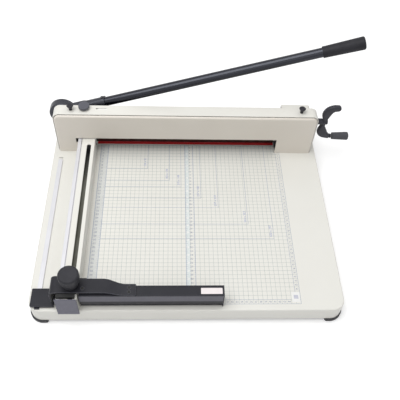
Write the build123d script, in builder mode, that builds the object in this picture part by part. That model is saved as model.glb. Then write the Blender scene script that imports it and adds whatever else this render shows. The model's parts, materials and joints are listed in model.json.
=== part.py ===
from build123d import *
import os
from math import atan2, copysign, cos, degrees, hypot, pi, radians, sin, sqrt

os.makedirs("parts", exist_ok=True)

# A lever-operated stack paper cutter, in millimetres.
# +X runs along the cut, +Y from the paper table to the lever, +Z up.
# The origin is on the surface that it stands on, under the middle of its box.

# table
table_left = 106.0           # guide face to the table's left edge
table_right = 553.5          # guide face to the table's right edge
table_front = 475.0          # cut line to the front edge
table_rear = 90.0            # cut line to the rear edge
table_sheet = 2.0
table_bend = 3.0
skirt_height = 38.0
corner_radius = 27.0
foot_height = 10.0
foot_proud = 2.5             # how far a foot stands out past the rounded corner
foot_size = 40.0
foot_tip_radius = 5.0
foot_chamfer = 1.2
foot_recess = 4.0
foot_recess_radius = 6.0
foot_screw_radius = 2.5
foot_screw_head = 2.5
channel_width = 44.0
channel_height = 22.0
channel_sheet = 2.0
channel_margin = 1.0         # between a channel's ends and the skirt
channel_setbacks = (170.0, 330.0)    # cut line to each cross channel's middle

# cutting bed
bed_bar_height = 25.0
bed_bar_front = 30.0
bed_bar_rear = 16.0
stick_width = 16.0
stick_height = 10.0
stick_length = 448.0
slip = 0.3                   # gap between flat faces that slide or drop in

# columns and covers
column_left_outer = 92.0
column_left_inner = 42.0
column_right_inner = 456.0
column_right_outer = 530.5
column_height = 116.0
column_chamfer = 8.0
cover_pad_inset = 15.0       # column side to the raised pad behind the front cover
cover_front = 35.0
cover_left = 94.5
cover_right = 541.0
cover_height = 122.0
cover_sheet = 1.5
cover_corner = 17.0
cover_bend = 4.5
front_cover_depth = 5.0
cover_seam = 1.2             # open line between the front cover and the top cover
top_cover_rear = 1.0
throat_left = 38.0
throat_right = 447.0
throat_height = 47.0
notch_left = 47.0
notch_low = 32.0
guide_cover_left = 452.0
guide_cover_right = 522.0
guide_cover_corner = 6.0
guide_cover_rear = 12.0
oil_slot_length = 25.0
oil_slot_width = 3.2
oil_slot_setback = 9.8
thumb_screw_x = (-51.5, 499.0)
thumb_screw_y = -14.5
thumb_neck_radius = 3.75
thumb_neck_height = 5.0
thumb_head_radius = 8.0
thumb_head_height = 8.0
thumb_head_rim = 2.0
thumb_screw_depth = 10.0
thumb_thread_radius = 2.5
column_bolt_radius = 5.0
column_bolt_head = 8.0
column_bolt_inset = 17.0
column_bolt_depth = 22.0

# lever and its pivot
pivot_left = 79.5
pivot_height = 79.2
lever_angle = 17.5           # above the horizontal with the blade down
lever_rear = 25.0            # cut line to the plane that the lever swings in
lever_arm_width = 24.0
lever_length = 727.5         # pivot to the grip's end
hub_radius = 32.0
web_half = 11.0              # of the arm where it leaves the hub
boss_radius = 22.5           # of the arm round the drive pin
socket_radius = 13.0
socket_reach = 112.0
tube_setback = 2.0           # drive pin's bore to the tube's end
arm_edge = 4.5
collar_radius = 14.4
collar_width = 8.0
collar_screw_radius = 3.2
collar_screw_height = 2.6
tube_radius = 11.0
tube_wall = 2.5
grip_length = 94.0
grip_root_radius = 13.0
grip_end_radius = 14.8
grip_lip = 5.0
grip_rounding = 4.0
pivot_radius = 10.0
pivot_depth = 26.0           # how far the shaft reaches in front of the cut line
pivot_boss_radius = 13.0
bush_wall = 3.0
running = 0.05               # radial clearance of a shaft that turns
nut_height = 9.0
nut_across = 24.0
nut_flange_radius = 15.0
nut_flange = 2.0

# blade and its carrier
drive_radius = 56.0          # pivot to the drive pin
drive_angle = 6.0            # of the drive pin above the horizontal, blade down
drive_pin_radius = 7.0
drive_head_radius = 10.0
drive_head = 2.5
blade_thickness = 4.5
blade_left = 4.0
blade_right = 448.0
blade_height = 62.0
blade_bevel = 12.0
blade_edge = 0.4             # flat left at the edge
blade_rest = 0.3             # edge above the stick with the lever down
carrier_thickness = 5.5
carrier_left = 22.0
carrier_right = 449.0
carrier_low = 30.0
carrier_high = 98.0
carrier_ear = 13.0
tongue_half = 11.0
roller_x = 506.0
roller_height = 50.0
roller_radius = 7.0
roller_length = 8.0
roller_pin_radius = 3.5
roller_pin_head = 2.0
slot_overrun = 1.5           # degrees of slot past each end of the roller's path
lever_swing = 62.0           # degrees from blade down to fully open
blade_screw_count = 7
blade_screw_pitch = 66.0
blade_screw_radius = 3.0
blade_screw_head = 2.6
blade_screw_height = 46.0

# clamp and its drive
clamp_front = 14.0
clamp_rear = 4.0
clamp_foot_front = 28.0
clamp_foot = 4.0
clamp_foot_left = 36.0
clamp_foot_right = 449.0
clamp_tongue = 6.0           # how far the beam's ends run in the columns' grooves
clamp_top = 109.7
clamp_pad = 2.0
clamp_lift = 48.5            # pad above the table with the clamp raised
gear_module = 1.0
tooth_tip = 0.85             # addendum, in modules
tooth_root = 1.2             # dedendum, in modules
tip_half = 0.26              # half width of a tooth's tip, in modules
root_half = 0.6              # half width of a tooth's root, in modules
pinion_teeth = 12
shaft_gear_teeth = 14
idler_teeth = 18
crank_gear_teeth = 18
rack_width = 12.0
rack_x = (20.0, 430.0)
rack_back = 3.3
rack_ends = (56.0, 119.0)
pinion_shaft_height = 65.0
pinion_shaft_radius = 4.0
pinion_shaft_end = 18.0      # length of the shaft in the left column
gear_gap = 1.0
gear_width = 5.0
idler_stud_radius = 3.0
idler_stud_depth = 12.0
crank_y = -19.0
crank_height = 98.0
crank_tilt = 5.5             # the upright crank leans this far towards the table
crank_shaft_radius = 6.0
crank_shaft_depth = 64.0
crank_hub_start = 542.5
crank_hub_end = 566.0
crank_hub_radius = 7.5
crank_hub_bore = 13.5
crank_thickness = 11.0
crank_edge = 3.0
# the crank's limbs: X from the guide face, height above its shaft and half width
crank_upper = ((557.0, 6.0, 5.5), (557.0, 26.0, 6.5), (561.0, 39.0, 8.5), (569.5, 46.5, 8.0), (580.0, 50.0, 7.0))
crank_lower = ((559.5, -6.0, 4.5), (560.0, -17.0, 4.5), (560.7, -38.0, 10.5), (566.0, -47.5, 9.5), (575.0, -54.0, 6.8))
crank_radius = 55.0          # shaft to the grip's axis
crank_boss_x = 571.0
crank_boss_length = 15.0
crank_boss_radius = 7.5
grip_pin_radius = 3.5
grip_pin_head_radius = 5.5
grip_pin_head = 2.0
crank_grip_start = 590.0
crank_grip_length = 41.0
crank_grip_small = 8.7
crank_grip_large = 10.3
crank_grip_rounding = 3.5
stop_knob_x = -20.2
stop_knob_y = -9.0
stop_knob_radius = 13.0
stop_knob_height = 5.5
stop_knob_lift = 4.5
stop_knob_rounding = 1.2
stop_screw_radius = 4.0
stop_boss_radius = 7.5
stop_boss_depth = 9.0

# side guide and back gauge
rail_width = 30.5
rail_height = 45.0
rail_wall = 2.5
rail_rear = 31.5
slot_left = 18.0
slot_right = 8.0
slot_rear = 53.0
inner_left = 23.0
inner_right = 4.0
inner_height = 34.0
inner_wall = 2.0
inner_rear = 78.0
high_strip_width = 8.0
high_strip_thickness = 5.0
high_strip_groove = 2.0      # open line between the strip and the rail
high_strip_ledge = 2.0       # thickness of the ledge that joins them
high_strip_relief = 50.0     # cut line to the ledge's end
low_strip_left = 91.0
low_strip_width = 10.0
low_strip_thickness = 3.0
low_strip_rear = 65.0
low_strip_front = 460.0
strip_end_front = 470.5
strip_slot_gap = 6.0
strip_slot_width = 2.5
end_plate_thickness = 2.0
end_plate_left = 43.0
end_plate_right = 0.5
end_plate_drop = 8.0
end_plate_top = 52.0
gauge_front = 462.0
gauge_depth = 38.0
saddle_left = 56.0
saddle_right = 2.0
saddle_top = 55.0
saddle_sheet = 3.0
saddle_bend = 11.0
side_plate_left = 100.0
side_plate_right = 51.0
side_plate_front = 467.3
side_plate_rear = 426.0
side_plate_corner = 2.5
side_plate_thickness = 4.0
bridge_flat = 58.0
bridge_land = 88.0
bridge_end = 117.0
bridge_rise_bend = 150.0     # radius of the leaf's bends in elevation
bridge_plan_bend = 60.0      # and seen from above
bridge_setback = 32.0        # depth of the bracket to the right of the rail
pad_rear = 440.0
pad_front = 465.5
pad_corner = 3.0
bar_left = 3.0
bar_right = 293.0
bar_front = 466.0
bar_depth = 24.0
bar_low = 1.5
bar_high = 47.5
bar_wall = 2.5
bar_band = 12.0
bar_band_inset = 3.5
bar_cap = 2.0
slider_left = 40.0
slider_right = 17.0
nose_front = 470.5           # the slider's nose, on the rail in front of the saddle
nose_right = 4.0
gauge_screw_radius = 2.0
gauge_screw_head_radius = 3.5
gauge_screw_head = 1.5
saddle_screw_x = 11.0
saddle_screw_y = 2.0
pad_screw_x = 103.0
pad_screw_y = 5.0
tee_nut_width = 19.0
tee_nut_length = 26.0
tee_nut_height = 5.0
stud_radius = 4.0
stud_top = 78.0
gauge_knob_top = 96.0
gauge_knob_small = 14.5
gauge_knob_large = 21.0
gauge_knob_rounding = 5.0
gauge_knob_rim = 17.0        # height of the knob's full-width rim

# overall reach, which centres the machine over its origin
left_reach = pivot_left + hub_radius
right_reach = crank_grip_start + crank_grip_length
front_reach = table_front + foot_proud
rear_reach = table_rear + foot_proud
guide_x = (left_reach - right_reach) / 2
cut_y = (front_reach - rear_reach) / 2
bed_z = foot_height + skirt_height

# places that several pieces share
table_x = (guide_x - table_left, guide_x + table_right)
table_y = (cut_y - table_front, cut_y + table_rear)
table_mid = (sum(table_x) / 2, sum(table_y) / 2)
skirt_z = bed_z - skirt_height
sheet_z = bed_z - table_sheet
pivot_x = guide_x - pivot_left
pivot_z = bed_z + pivot_height
lever_y = cut_y + lever_rear
arm_y = (lever_y - lever_arm_width / 2, lever_y + lever_arm_width / 2)
drive_x = pivot_x + drive_radius * cos(radians(drive_angle))
drive_z = pivot_z + drive_radius * sin(radians(drive_angle))
carrier_y = (cut_y + blade_thickness, cut_y + blade_thickness + carrier_thickness)
cover_y = cut_y - cover_front
left_column_x = (guide_x - column_left_outer, guide_x - column_left_inner)
right_column_x = (guide_x + column_right_inner, guide_x + column_right_outer)
column_y = (cover_y + front_cover_depth, cut_y - slip)
cover_pad_y = (cover_y + cover_sheet, column_y[0])
column_z = (bed_z, bed_z + column_height)
clamp_y = (cut_y - clamp_front, cut_y - clamp_rear)
clamp_low = bed_z + clamp_lift + clamp_pad
pinion_pitch = gear_module * pinion_teeth / 2
pinion_y = clamp_y[0] - rack_back - gear_module * tooth_root - pinion_pitch
pinion_z = bed_z + pinion_shaft_height
crank_shaft_y = cut_y + crank_y
crank_shaft_z = bed_z + crank_height
gear_x = (right_column_x[1] + gear_gap, right_column_x[1] + gear_gap + gear_width)
rail_x = (guide_x - rail_width, guide_x)
gauge_y = (cut_y - gauge_front, cut_y - gauge_front + gauge_depth)
stud_x = guide_x - (slot_left + slot_right) / 2
stud_y = sum(gauge_y) / 2
saddle_z = bed_z + saddle_top


def block(x_span, y_span, z_span, mode=Mode.ADD):
    # a rectangular block between two limits on each axis
    with BuildSketch(Plane.XY.offset(z_span[0])) as outline:
        with Locations((sum(x_span) / 2, sum(y_span) / 2)):
            Rectangle(x_span[1] - x_span[0], y_span[1] - y_span[0])
    extrude(outline.sketch, amount=z_span[1] - z_span[0], mode=mode)


def disc_x(y, z, radius, x_span, mode=Mode.ADD):
    # a round bar or bore along X
    with BuildSketch(Plane.YZ.offset(x_span[0])) as outline:
        with Locations((y, z)):
            Circle(radius)
    extrude(outline.sketch, amount=x_span[1] - x_span[0], mode=mode)


def disc_y(x, z, radius, y_span, mode=Mode.ADD):
    # a round bar or bore along Y
    with BuildSketch(Plane.XZ.offset(-y_span[1])) as outline:
        with Locations((x, z)):
            Circle(radius)
    extrude(outline.sketch, amount=y_span[1] - y_span[0], mode=mode)


def disc_z(x, y, radius, z_span, mode=Mode.ADD):
    # a round bar or bore along Z
    with BuildSketch(Plane.XY.offset(z_span[0])) as outline:
        with Locations((x, y)):
            Circle(radius)
    extrude(outline.sketch, amount=z_span[1] - z_span[0], mode=mode)


def gear_outline(teeth, first_tooth):
    # straight-flanked teeth round a pitch circle, the first one at the angle given in degrees
    pitch_radius = gear_module * teeth / 2
    root = pitch_radius - gear_module * tooth_root
    tip = pitch_radius + gear_module * tooth_tip
    flank = (
        (root, -gear_module * root_half / root),
        (tip, -gear_module * tip_half / tip),
        (tip, gear_module * tip_half / tip),
        (root, gear_module * root_half / root),
    )
    points = []
    for tooth in range(teeth):
        middle = radians(first_tooth + 360 * tooth / teeth)
        points += [(r * cos(middle + turn), r * sin(middle + turn)) for r, turn in flank]
    return points


def gear(teeth, y, z, x_span, first_tooth, bore):
    # a spur gear on an X axis
    with BuildSketch(Plane.YZ.offset(x_span[0])) as outline:
        with Locations((y, z)):
            Polygon(*gear_outline(teeth, first_tooth), align=None)
            Circle(bore, mode=Mode.SUBTRACT)
    extrude(outline.sketch, amount=x_span[1] - x_span[0])


# ---------------------------------------------------------------- table
foot_centres = [
    (x, y)
    for x in (table_x[0] + corner_radius, table_x[1] - corner_radius)
    for y in (table_y[0] + corner_radius, table_y[1] - corner_radius)
]
bolt_places = [
    (x, y)
    for x in (sum(left_column_x) / 2, right_column_x[0] + column_bolt_inset,
              right_column_x[1] - column_bolt_inset)
    for y in (cut_y - column_bolt_inset,)
]
stick_y = (cut_y - stick_width / 2, cut_y + stick_width / 2)
strip_x = (guide_x - low_strip_left, guide_x - low_strip_left + low_strip_width)
strip_slot_rear = cut_y - low_strip_rear + strip_slot_gap

with BuildPart() as base_table:
    with BuildSketch(Plane.XY.offset(skirt_z)):
        with Locations(table_mid):
            RectangleRounded(table_x[1] - table_x[0], table_y[1] - table_y[0], corner_radius)
    extrude(amount=skirt_height)
    fillet(base_table.faces().sort_by(Axis.Z)[-1].edges(), table_bend)
    with BuildSketch(Plane.XY.offset(skirt_z)):
        with Locations(table_mid):
            RectangleRounded(
                table_x[1] - table_x[0] - 2 * table_sheet,
                table_y[1] - table_y[0] - 2 * table_sheet,
                corner_radius - table_sheet,
            )
    extrude(amount=skirt_height - table_sheet, mode=Mode.SUBTRACT)
    # a round lug in each corner carries a foot
    with BuildSketch(Plane.XY.offset(skirt_z)):
        with Locations(*foot_centres):
            Circle(corner_radius - table_sheet)
    extrude(amount=table_sheet)
    with BuildSketch(Plane.XY.offset(skirt_z)):
        with Locations(*foot_centres):
            Circle(foot_screw_radius)
    extrude(amount=table_sheet, mode=Mode.SUBTRACT)
    with BuildSketch(Plane.XY.offset(sheet_z)):
        with Locations(*bolt_places):
            Circle(column_bolt_radius + slip)
    extrude(amount=table_sheet, mode=Mode.SUBTRACT)
    block((guide_x - slip, guide_x + stick_length + slip),
          (stick_y[0] - slip, stick_y[1] + slip), (sheet_z, bed_z), Mode.SUBTRACT)
    block(strip_x, (strip_slot_rear, strip_slot_rear + strip_slot_width),
          (sheet_z, bed_z), Mode.SUBTRACT)
base_table.part.label = "base_table"
export_step(base_table.part, "parts/base_table.step")

for number, setback in enumerate(channel_setbacks, 1):
    middle_y = cut_y - setback
    channel_x = (table_x[0] + table_sheet + channel_margin, table_x[1] - table_sheet - channel_margin)
    with BuildPart() as cross_channel:
        block(channel_x, (middle_y - channel_width / 2, middle_y + channel_width / 2),
              (sheet_z - channel_height, sheet_z))
        block(channel_x,
              (middle_y - channel_width / 2 + channel_sheet, middle_y + channel_width / 2 - channel_sheet),
              (sheet_z - channel_height, sheet_z - channel_sheet), Mode.SUBTRACT)
    cross_channel.part.label = f"cross_channel_{number}"
    export_step(cross_channel.part, f"parts/cross_channel_{number}.step")

foot_shift = corner_radius + foot_proud - foot_size / 2
for number, (foot_x, foot_y) in enumerate(foot_centres, 1):
    # the pad follows the table's corner and ends in two round tips
    pad_x = foot_x + copysign(foot_shift, foot_x - table_mid[0])
    pad_y = foot_y + copysign(foot_shift, foot_y - table_mid[1])
    with BuildPart() as foot:
        with BuildSketch() as pad:
            with Locations((pad_x, pad_y)):
                Rectangle(foot_size, foot_size)
            fillet(pad.vertices().sort_by_distance(table_mid)[:3], foot_tip_radius)
            fillet(pad.vertices().sort_by_distance(table_mid)[-1], corner_radius + foot_proud)
        extrude(amount=foot_height)
        chamfer(foot.edges().group_by(Axis.Z)[0] + foot.edges().group_by(Axis.Z)[-1], foot_chamfer)
        disc_z(foot_x, foot_y, foot_recess_radius, (0, foot_recess), Mode.SUBTRACT)
        disc_z(foot_x, foot_y, foot_screw_radius, (foot_recess, foot_height), Mode.SUBTRACT)
    foot.part.label = f"foot_{number}"
    export_step(foot.part, f"parts/foot_{number}.step")

with BuildPart() as foot_screws:
    for foot_x, foot_y in foot_centres:
        disc_z(foot_x, foot_y, foot_recess_radius - 1, (foot_recess - foot_screw_head, foot_recess))
        disc_z(foot_x, foot_y, foot_screw_radius, (foot_recess, skirt_z + 2 * table_sheet))
foot_screws.part.label = "foot_screws"
export_step(foot_screws.part, "parts/foot_screws.step")

# ---------------------------------------------------------------- cutting bed
bed_y = (cut_y - bed_bar_front, cut_y + bed_bar_rear)
bed_x = (left_column_x[0], right_column_x[1])
stick_z = (bed_z - stick_height, bed_z)

with BuildPart() as bed_bar:
    block(bed_x, bed_y, (sheet_z - bed_bar_height, sheet_z))
    block((guide_x - slip, guide_x + stick_length + slip),
          (stick_y[0] - slip, stick_y[1] + slip), (stick_z[0], sheet_z), Mode.SUBTRACT)
    for bolt_x, bolt_y in bolt_places:
        disc_z(bolt_x, bolt_y, column_bolt_radius, (sheet_z - bed_bar_height, sheet_z), Mode.SUBTRACT)
        disc_z(bolt_x, bolt_y, column_bolt_head,
               (sheet_z - bed_bar_height, sheet_z - bed_bar_height + column_bolt_head), Mode.SUBTRACT)
bed_bar.part.label = "bed_bar"
export_step(bed_bar.part, "parts/bed_bar.step")

with BuildPart() as cutting_stick:
    block((guide_x, guide_x + stick_length), stick_y, stick_z)
cutting_stick.part.label = "cutting_stick"
export_step(cutting_stick.part, "parts/cutting_stick.step")

with BuildPart() as column_bolts:
    head_z = sheet_z - bed_bar_height + column_bolt_head
    for bolt_x, bolt_y in bolt_places:
        disc_z(bolt_x, bolt_y, column_bolt_head - slip, (head_z - column_bolt_head + 1, head_z))
        disc_z(bolt_x, bolt_y, column_bolt_radius, (head_z, bed_z + column_bolt_depth))
column_bolts.part.label = "column_bolts"
export_step(column_bolts.part, "parts/column_bolts.step")

# ---------------------------------------------------------------- columns
groove_y = (clamp_y[0] - slip, clamp_y[1] + slip)
roller_z = bed_z + roller_height
roller_rest_x = guide_x + roller_x
arc_x = roller_rest_x - drive_radius * cos(radians(drive_angle))
arc_z = roller_z - drive_radius * sin(radians(drive_angle))
slot_from = drive_angle - slot_overrun
slot_to = drive_angle + lever_swing + slot_overrun
roller_y = (cut_y + top_cover_rear - roller_length, cut_y + top_cover_rear)
idler_pitch = gear_module * idler_teeth / 2
crank_pitch = gear_module * crank_gear_teeth / 2
shaft_gear_pitch = gear_module * shaft_gear_teeth / 2
shaft_span = hypot(crank_shaft_y - pinion_y, crank_shaft_z - pinion_z)
near_leg = idler_pitch + shaft_gear_pitch
far_leg = idler_pitch + crank_pitch
along = (near_leg ** 2 - far_leg ** 2 + shaft_span ** 2) / (2 * shaft_span)
aside = sqrt(near_leg ** 2 - along ** 2)
up_y = (crank_shaft_y - pinion_y) / shaft_span
up_z = (crank_shaft_z - pinion_z) / shaft_span
idler_y = pinion_y + along * up_y + aside * up_z
idler_z = pinion_z + along * up_z - aside * up_y

with BuildPart() as left_column:
    block(left_column_x, column_y, column_z)
    chamfer(left_column.edges().filter_by(Axis.Y).group_by(Axis.Z)[-1].sort_by(Axis.X)[0], column_chamfer)
    block((left_column_x[0] + cover_pad_inset, left_column_x[1] - cover_pad_inset), cover_pad_y, column_z)
    disc_y(pivot_x, pivot_z, pivot_boss_radius, (column_y[1], arm_y[0] - slip))
    disc_y(pivot_x, pivot_z, pivot_radius, (cut_y - pivot_depth, arm_y[0] - slip), Mode.SUBTRACT)
    block((left_column_x[1] - clamp_tongue - slip, left_column_x[1]), groove_y, column_z, Mode.SUBTRACT)
    disc_x(pinion_y, pinion_z, pinion_shaft_radius + running,
           (left_column_x[1] - pinion_shaft_end, left_column_x[1]), Mode.SUBTRACT)
    disc_z(guide_x + thumb_screw_x[0], cut_y + thumb_screw_y, thumb_thread_radius,
           (column_z[1] - thumb_screw_depth, column_z[1]), Mode.SUBTRACT)
    disc_z(*bolt_places[0], column_bolt_radius, (bed_z, bed_z + column_bolt_depth), Mode.SUBTRACT)
left_column.part.label = "left_column"
export_step(left_column.part, "parts/left_column.step")

with BuildPart() as right_column:
    block(right_column_x, (column_y[0], roller_y[1]), column_z)
    block((right_column_x[0] + cover_pad_inset, right_column_x[1] - cover_pad_inset), cover_pad_y, column_z)
    block((right_column_x[0], right_column_x[0] + clamp_tongue + slip), groove_y, column_z, Mode.SUBTRACT)
    # the curved slot that the carrier's roller runs in
    with BuildSketch(Plane.XZ.offset(-roller_y[1])):
        with BuildLine():
            outer = CenterArc((arc_x, arc_z), drive_radius + roller_radius + slip,
                              slot_from, slot_to - slot_from)
            inner = CenterArc((arc_x, arc_z), drive_radius - roller_radius - slip,
                              slot_from, slot_to - slot_from)
            ThreePointArc(
                outer @ 1,
                (arc_x + drive_radius * cos(radians(slot_to))
                 - (roller_radius + slip) * sin(radians(slot_to)),
                 arc_z + drive_radius * sin(radians(slot_to))
                 + (roller_radius + slip) * cos(radians(slot_to))),
                inner @ 1,
            )
            ThreePointArc(
                inner @ 0,
                (arc_x + drive_radius * cos(radians(slot_from))
                 + (roller_radius + slip) * sin(radians(slot_from)),
                 arc_z + drive_radius * sin(radians(slot_from))
                 - (roller_radius + slip) * cos(radians(slot_from))),
                outer @ 0,
            )
        make_face()
    extrude(amount=roller_length + slip, mode=Mode.SUBTRACT)
    disc_x(pinion_y, pinion_z, pinion_shaft_radius + running, right_column_x, Mode.SUBTRACT)
    disc_x(crank_shaft_y, crank_shaft_z, crank_shaft_radius + running,
           (right_column_x[1] - crank_shaft_depth, right_column_x[1]), Mode.SUBTRACT)
    disc_x(idler_y, idler_z, idler_stud_radius,
           (right_column_x[1] - idler_stud_depth, right_column_x[1]), Mode.SUBTRACT)
    disc_z(guide_x + thumb_screw_x[1], cut_y + thumb_screw_y, thumb_thread_radius,
           (column_z[1] - thumb_screw_depth, column_z[1]), Mode.SUBTRACT)
    for bolt_x, bolt_y in bolt_places[1:]:
        disc_z(bolt_x, bolt_y, column_bolt_radius, (bed_z, bed_z + column_bolt_depth), Mode.SUBTRACT)
right_column.part.label = "right_column"
export_step(right_column.part, "parts/right_column.step")

with BuildPart() as idler_stud:
    disc_x(idler_y, idler_z, idler_stud_radius,
           (right_column_x[1] - idler_stud_depth, gear_x[1]))
idler_stud.part.label = "idler_stud"
export_step(idler_stud.part, "parts/idler_stud.step")

# ---------------------------------------------------------------- covers
cover_x = (guide_x - cover_left, guide_x + cover_right)
cover_top = bed_z + cover_height
cover_inset = cover_sheet + cover_seam


def cover_outline(inset):
    # a cover's end view: upright sides, two rounded top corners, cut square at the table
    with BuildLine() as outline:
        FilletPolyline(
            (cover_x[0] + inset, bed_z),
            (cover_x[0] + inset, cover_top - inset),
            (cover_x[1] - inset, cover_top - inset),
            (cover_x[1] - inset, bed_z),
            radius=cover_corner - inset,
        )
        Line((cover_x[1] - inset, bed_z), (cover_x[0] + inset, bed_z))
    return outline.line


with BuildPart() as front_cover:
    with BuildSketch(Plane.XZ.offset(-(cover_y + front_cover_depth))):
        add(cover_outline(cover_inset))
        make_face()
    extrude(amount=front_cover_depth)
    rim = front_cover.faces().sort_by(Axis.Y)[0].edges()
    fillet(rim.filter_by(lambda edge: edge.center().Z > bed_z + 1), cover_bend)
    with BuildSketch(Plane.XZ.offset(-(cover_y + front_cover_depth))):
        add(cover_outline(cover_inset + cover_sheet))
        make_face()
    extrude(amount=front_cover_depth - cover_sheet, mode=Mode.SUBTRACT)
    block((guide_x - throat_left, guide_x + throat_right), (cover_y, cover_y + front_cover_depth),
          (bed_z, bed_z + throat_height), Mode.SUBTRACT)
    block((guide_x - notch_left, guide_x - throat_left), (cover_y, cover_y + front_cover_depth),
          (bed_z + notch_low, bed_z + throat_height), Mode.SUBTRACT)
front_cover.part.label = "front_cover"
export_step(front_cover.part, "parts/front_cover.step")

top_cover_y = (cover_y + front_cover_depth, cut_y + top_cover_rear)
stop_x = guide_x + stop_knob_x
stop_y = cut_y + stop_knob_y
top_sheet_z = (cover_top - cover_sheet, cover_top)

with BuildPart() as top_cover:
    with BuildSketch(Plane.XZ.offset(-top_cover_y[1])):
        add(cover_outline(0))
        make_face()
    extrude(amount=top_cover_y[1] - top_cover_y[0])
    with BuildSketch(Plane.XZ.offset(-top_cover_y[1])):
        add(cover_outline(cover_sheet))
        make_face()
    extrude(amount=top_cover_y[1] - top_cover_y[0], mode=Mode.SUBTRACT)
    disc_z(stop_x, stop_y, stop_boss_radius, (top_sheet_z[0] - stop_boss_depth, top_sheet_z[0]))
    disc_z(stop_x, stop_y, stop_screw_radius + running,
           (top_sheet_z[0] - stop_boss_depth, cover_top), Mode.SUBTRACT)
    for screw_x in thumb_screw_x:
        disc_z(guide_x + screw_x, cut_y + thumb_screw_y, thumb_thread_radius, top_sheet_z, Mode.SUBTRACT)
    # an oiling slot over the left rack
    block((guide_x + rack_x[0] - oil_slot_length / 2, guide_x + rack_x[0] + oil_slot_length / 2),
          (cut_y - oil_slot_setback - oil_slot_width / 2, cut_y - oil_slot_setback + oil_slot_width / 2),
          top_sheet_z, Mode.SUBTRACT)
    disc_x(crank_shaft_y, crank_shaft_z, crank_hub_radius + 1,
           (cover_x[1] - cover_sheet, cover_x[1]), Mode.SUBTRACT)
top_cover.part.label = "top_cover"
export_step(top_cover.part, "parts/top_cover.step")

guide_cover_x = (guide_x + guide_cover_left, guide_x + guide_cover_right)
guide_cover_y = (cut_y + top_cover_rear, cut_y + guide_cover_rear)

with BuildPart() as guide_cover:
    for inset, depth, mode in ((0, 0, Mode.ADD), (cover_sheet, cover_sheet, Mode.SUBTRACT)):
        with BuildSketch(Plane.XZ.offset(-(guide_cover_y[1] - depth))) as outline:
            Polygon((guide_cover_x[0], bed_z), (guide_cover_x[1] - inset, bed_z),
                    (guide_cover_x[1] - inset, cover_top - inset), (guide_cover_x[0], cover_top - inset),
                    align=None)
            fillet(outline.vertices().sort_by_distance((guide_cover_x[1], cover_top))[0],
                   guide_cover_corner - inset)
        extrude(amount=guide_cover_y[1] - depth - guide_cover_y[0], mode=mode)
guide_cover.part.label = "guide_cover"
export_step(guide_cover.part, "parts/guide_cover.step")

thumb_top = thumb_neck_height + thumb_head_height + thumb_head_rim
with BuildPart() as thumb_screws:
    for screw_x in thumb_screw_x:
        with BuildSketch(Plane.XZ.offset(-(cut_y + thumb_screw_y))):
            with Locations((guide_x + screw_x, cover_top)):
                Polygon(
                    (0, column_z[1] - thumb_screw_depth - cover_top),
                    (thumb_thread_radius, column_z[1] - thumb_screw_depth - cover_top),
                    (thumb_thread_radius, 0),
                    (thumb_neck_radius, 0),
                    (thumb_neck_radius, thumb_neck_height),
                    (thumb_head_radius, thumb_neck_height + thumb_head_height),
                    (thumb_head_radius - thumb_head_rim, thumb_top),
                    (0, thumb_top),
                    align=None,
                )
        revolve(axis=Axis((guide_x + screw_x, cut_y + thumb_screw_y, 0), (0, 0, 1)))
thumb_screws.part.label = "thumb_screws"
export_step(thumb_screws.part, "parts/thumb_screws.step")

# ---------------------------------------------------------------- side guide
rail_y = (cut_y - table_front, cut_y - rail_rear)
rail_slot_x = (guide_x - slot_left, guide_x - slot_right)

with BuildPart() as guide_rail:
    block(rail_x, rail_y, (bed_z, bed_z + rail_height))
    block((rail_x[0] + rail_wall, rail_x[1] - rail_wall), rail_y,
          (bed_z, bed_z + rail_height - rail_wall), Mode.SUBTRACT)
    block(rail_slot_x, (rail_y[0], cut_y - slot_rear),
          (bed_z + rail_height - rail_wall, bed_z + rail_height), Mode.SUBTRACT)
guide_rail.part.label = "guide_rail"
export_step(guide_rail.part, "parts/guide_rail.step")

inner_x = (guide_x - inner_left, guide_x - inner_right)

with BuildPart() as inner_rail:
    block(inner_x, (rail_y[0], cut_y - inner_rear), (bed_z, bed_z + inner_height))
    block((inner_x[0] + inner_wall, inner_x[1] - inner_wall), (rail_y[0], cut_y - inner_rear),
          (bed_z, bed_z + inner_height - inner_wall), Mode.SUBTRACT)
inner_rail.part.label = "inner_rail"
export_step(inner_rail.part, "parts/inner_rail.step")

high_strip_x = (rail_x[0] - high_strip_groove - high_strip_width, rail_x[0] - high_strip_groove)
high_strip_z = (bed_z + rail_height - high_strip_thickness, bed_z + rail_height)

with BuildPart() as high_strip:
    block(high_strip_x, rail_y, high_strip_z)
    block((high_strip_x[1], rail_x[0]), (rail_y[0], cut_y - high_strip_relief),
          (high_strip_z[0], high_strip_z[0] + high_strip_ledge))
high_strip.part.label = "high_strip"
export_step(high_strip.part, "parts/high_strip.step")

with BuildPart() as low_strip:
    block(strip_x, (cut_y - low_strip_front, cut_y - low_strip_rear), (bed_z, bed_z + low_strip_thickness))
low_strip.part.label = "low_strip"
export_step(low_strip.part, "parts/low_strip.step")

with BuildPart() as strip_end:
    block(strip_x, (cut_y - strip_end_front, cut_y - low_strip_front), (bed_z, bed_z + low_strip_thickness))
strip_end.part.label = "strip_end"
export_step(strip_end.part, "parts/strip_end.step")

with BuildPart() as guide_end_plate:
    block((guide_x - end_plate_left, guide_x + end_plate_right),
          (rail_y[0] - end_plate_thickness, rail_y[0]),
          (bed_z - end_plate_drop, bed_z + end_plate_top))
guide_end_plate.part.label = "guide_end_plate"
export_step(guide_end_plate.part, "parts/guide_end_plate.step")

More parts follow.
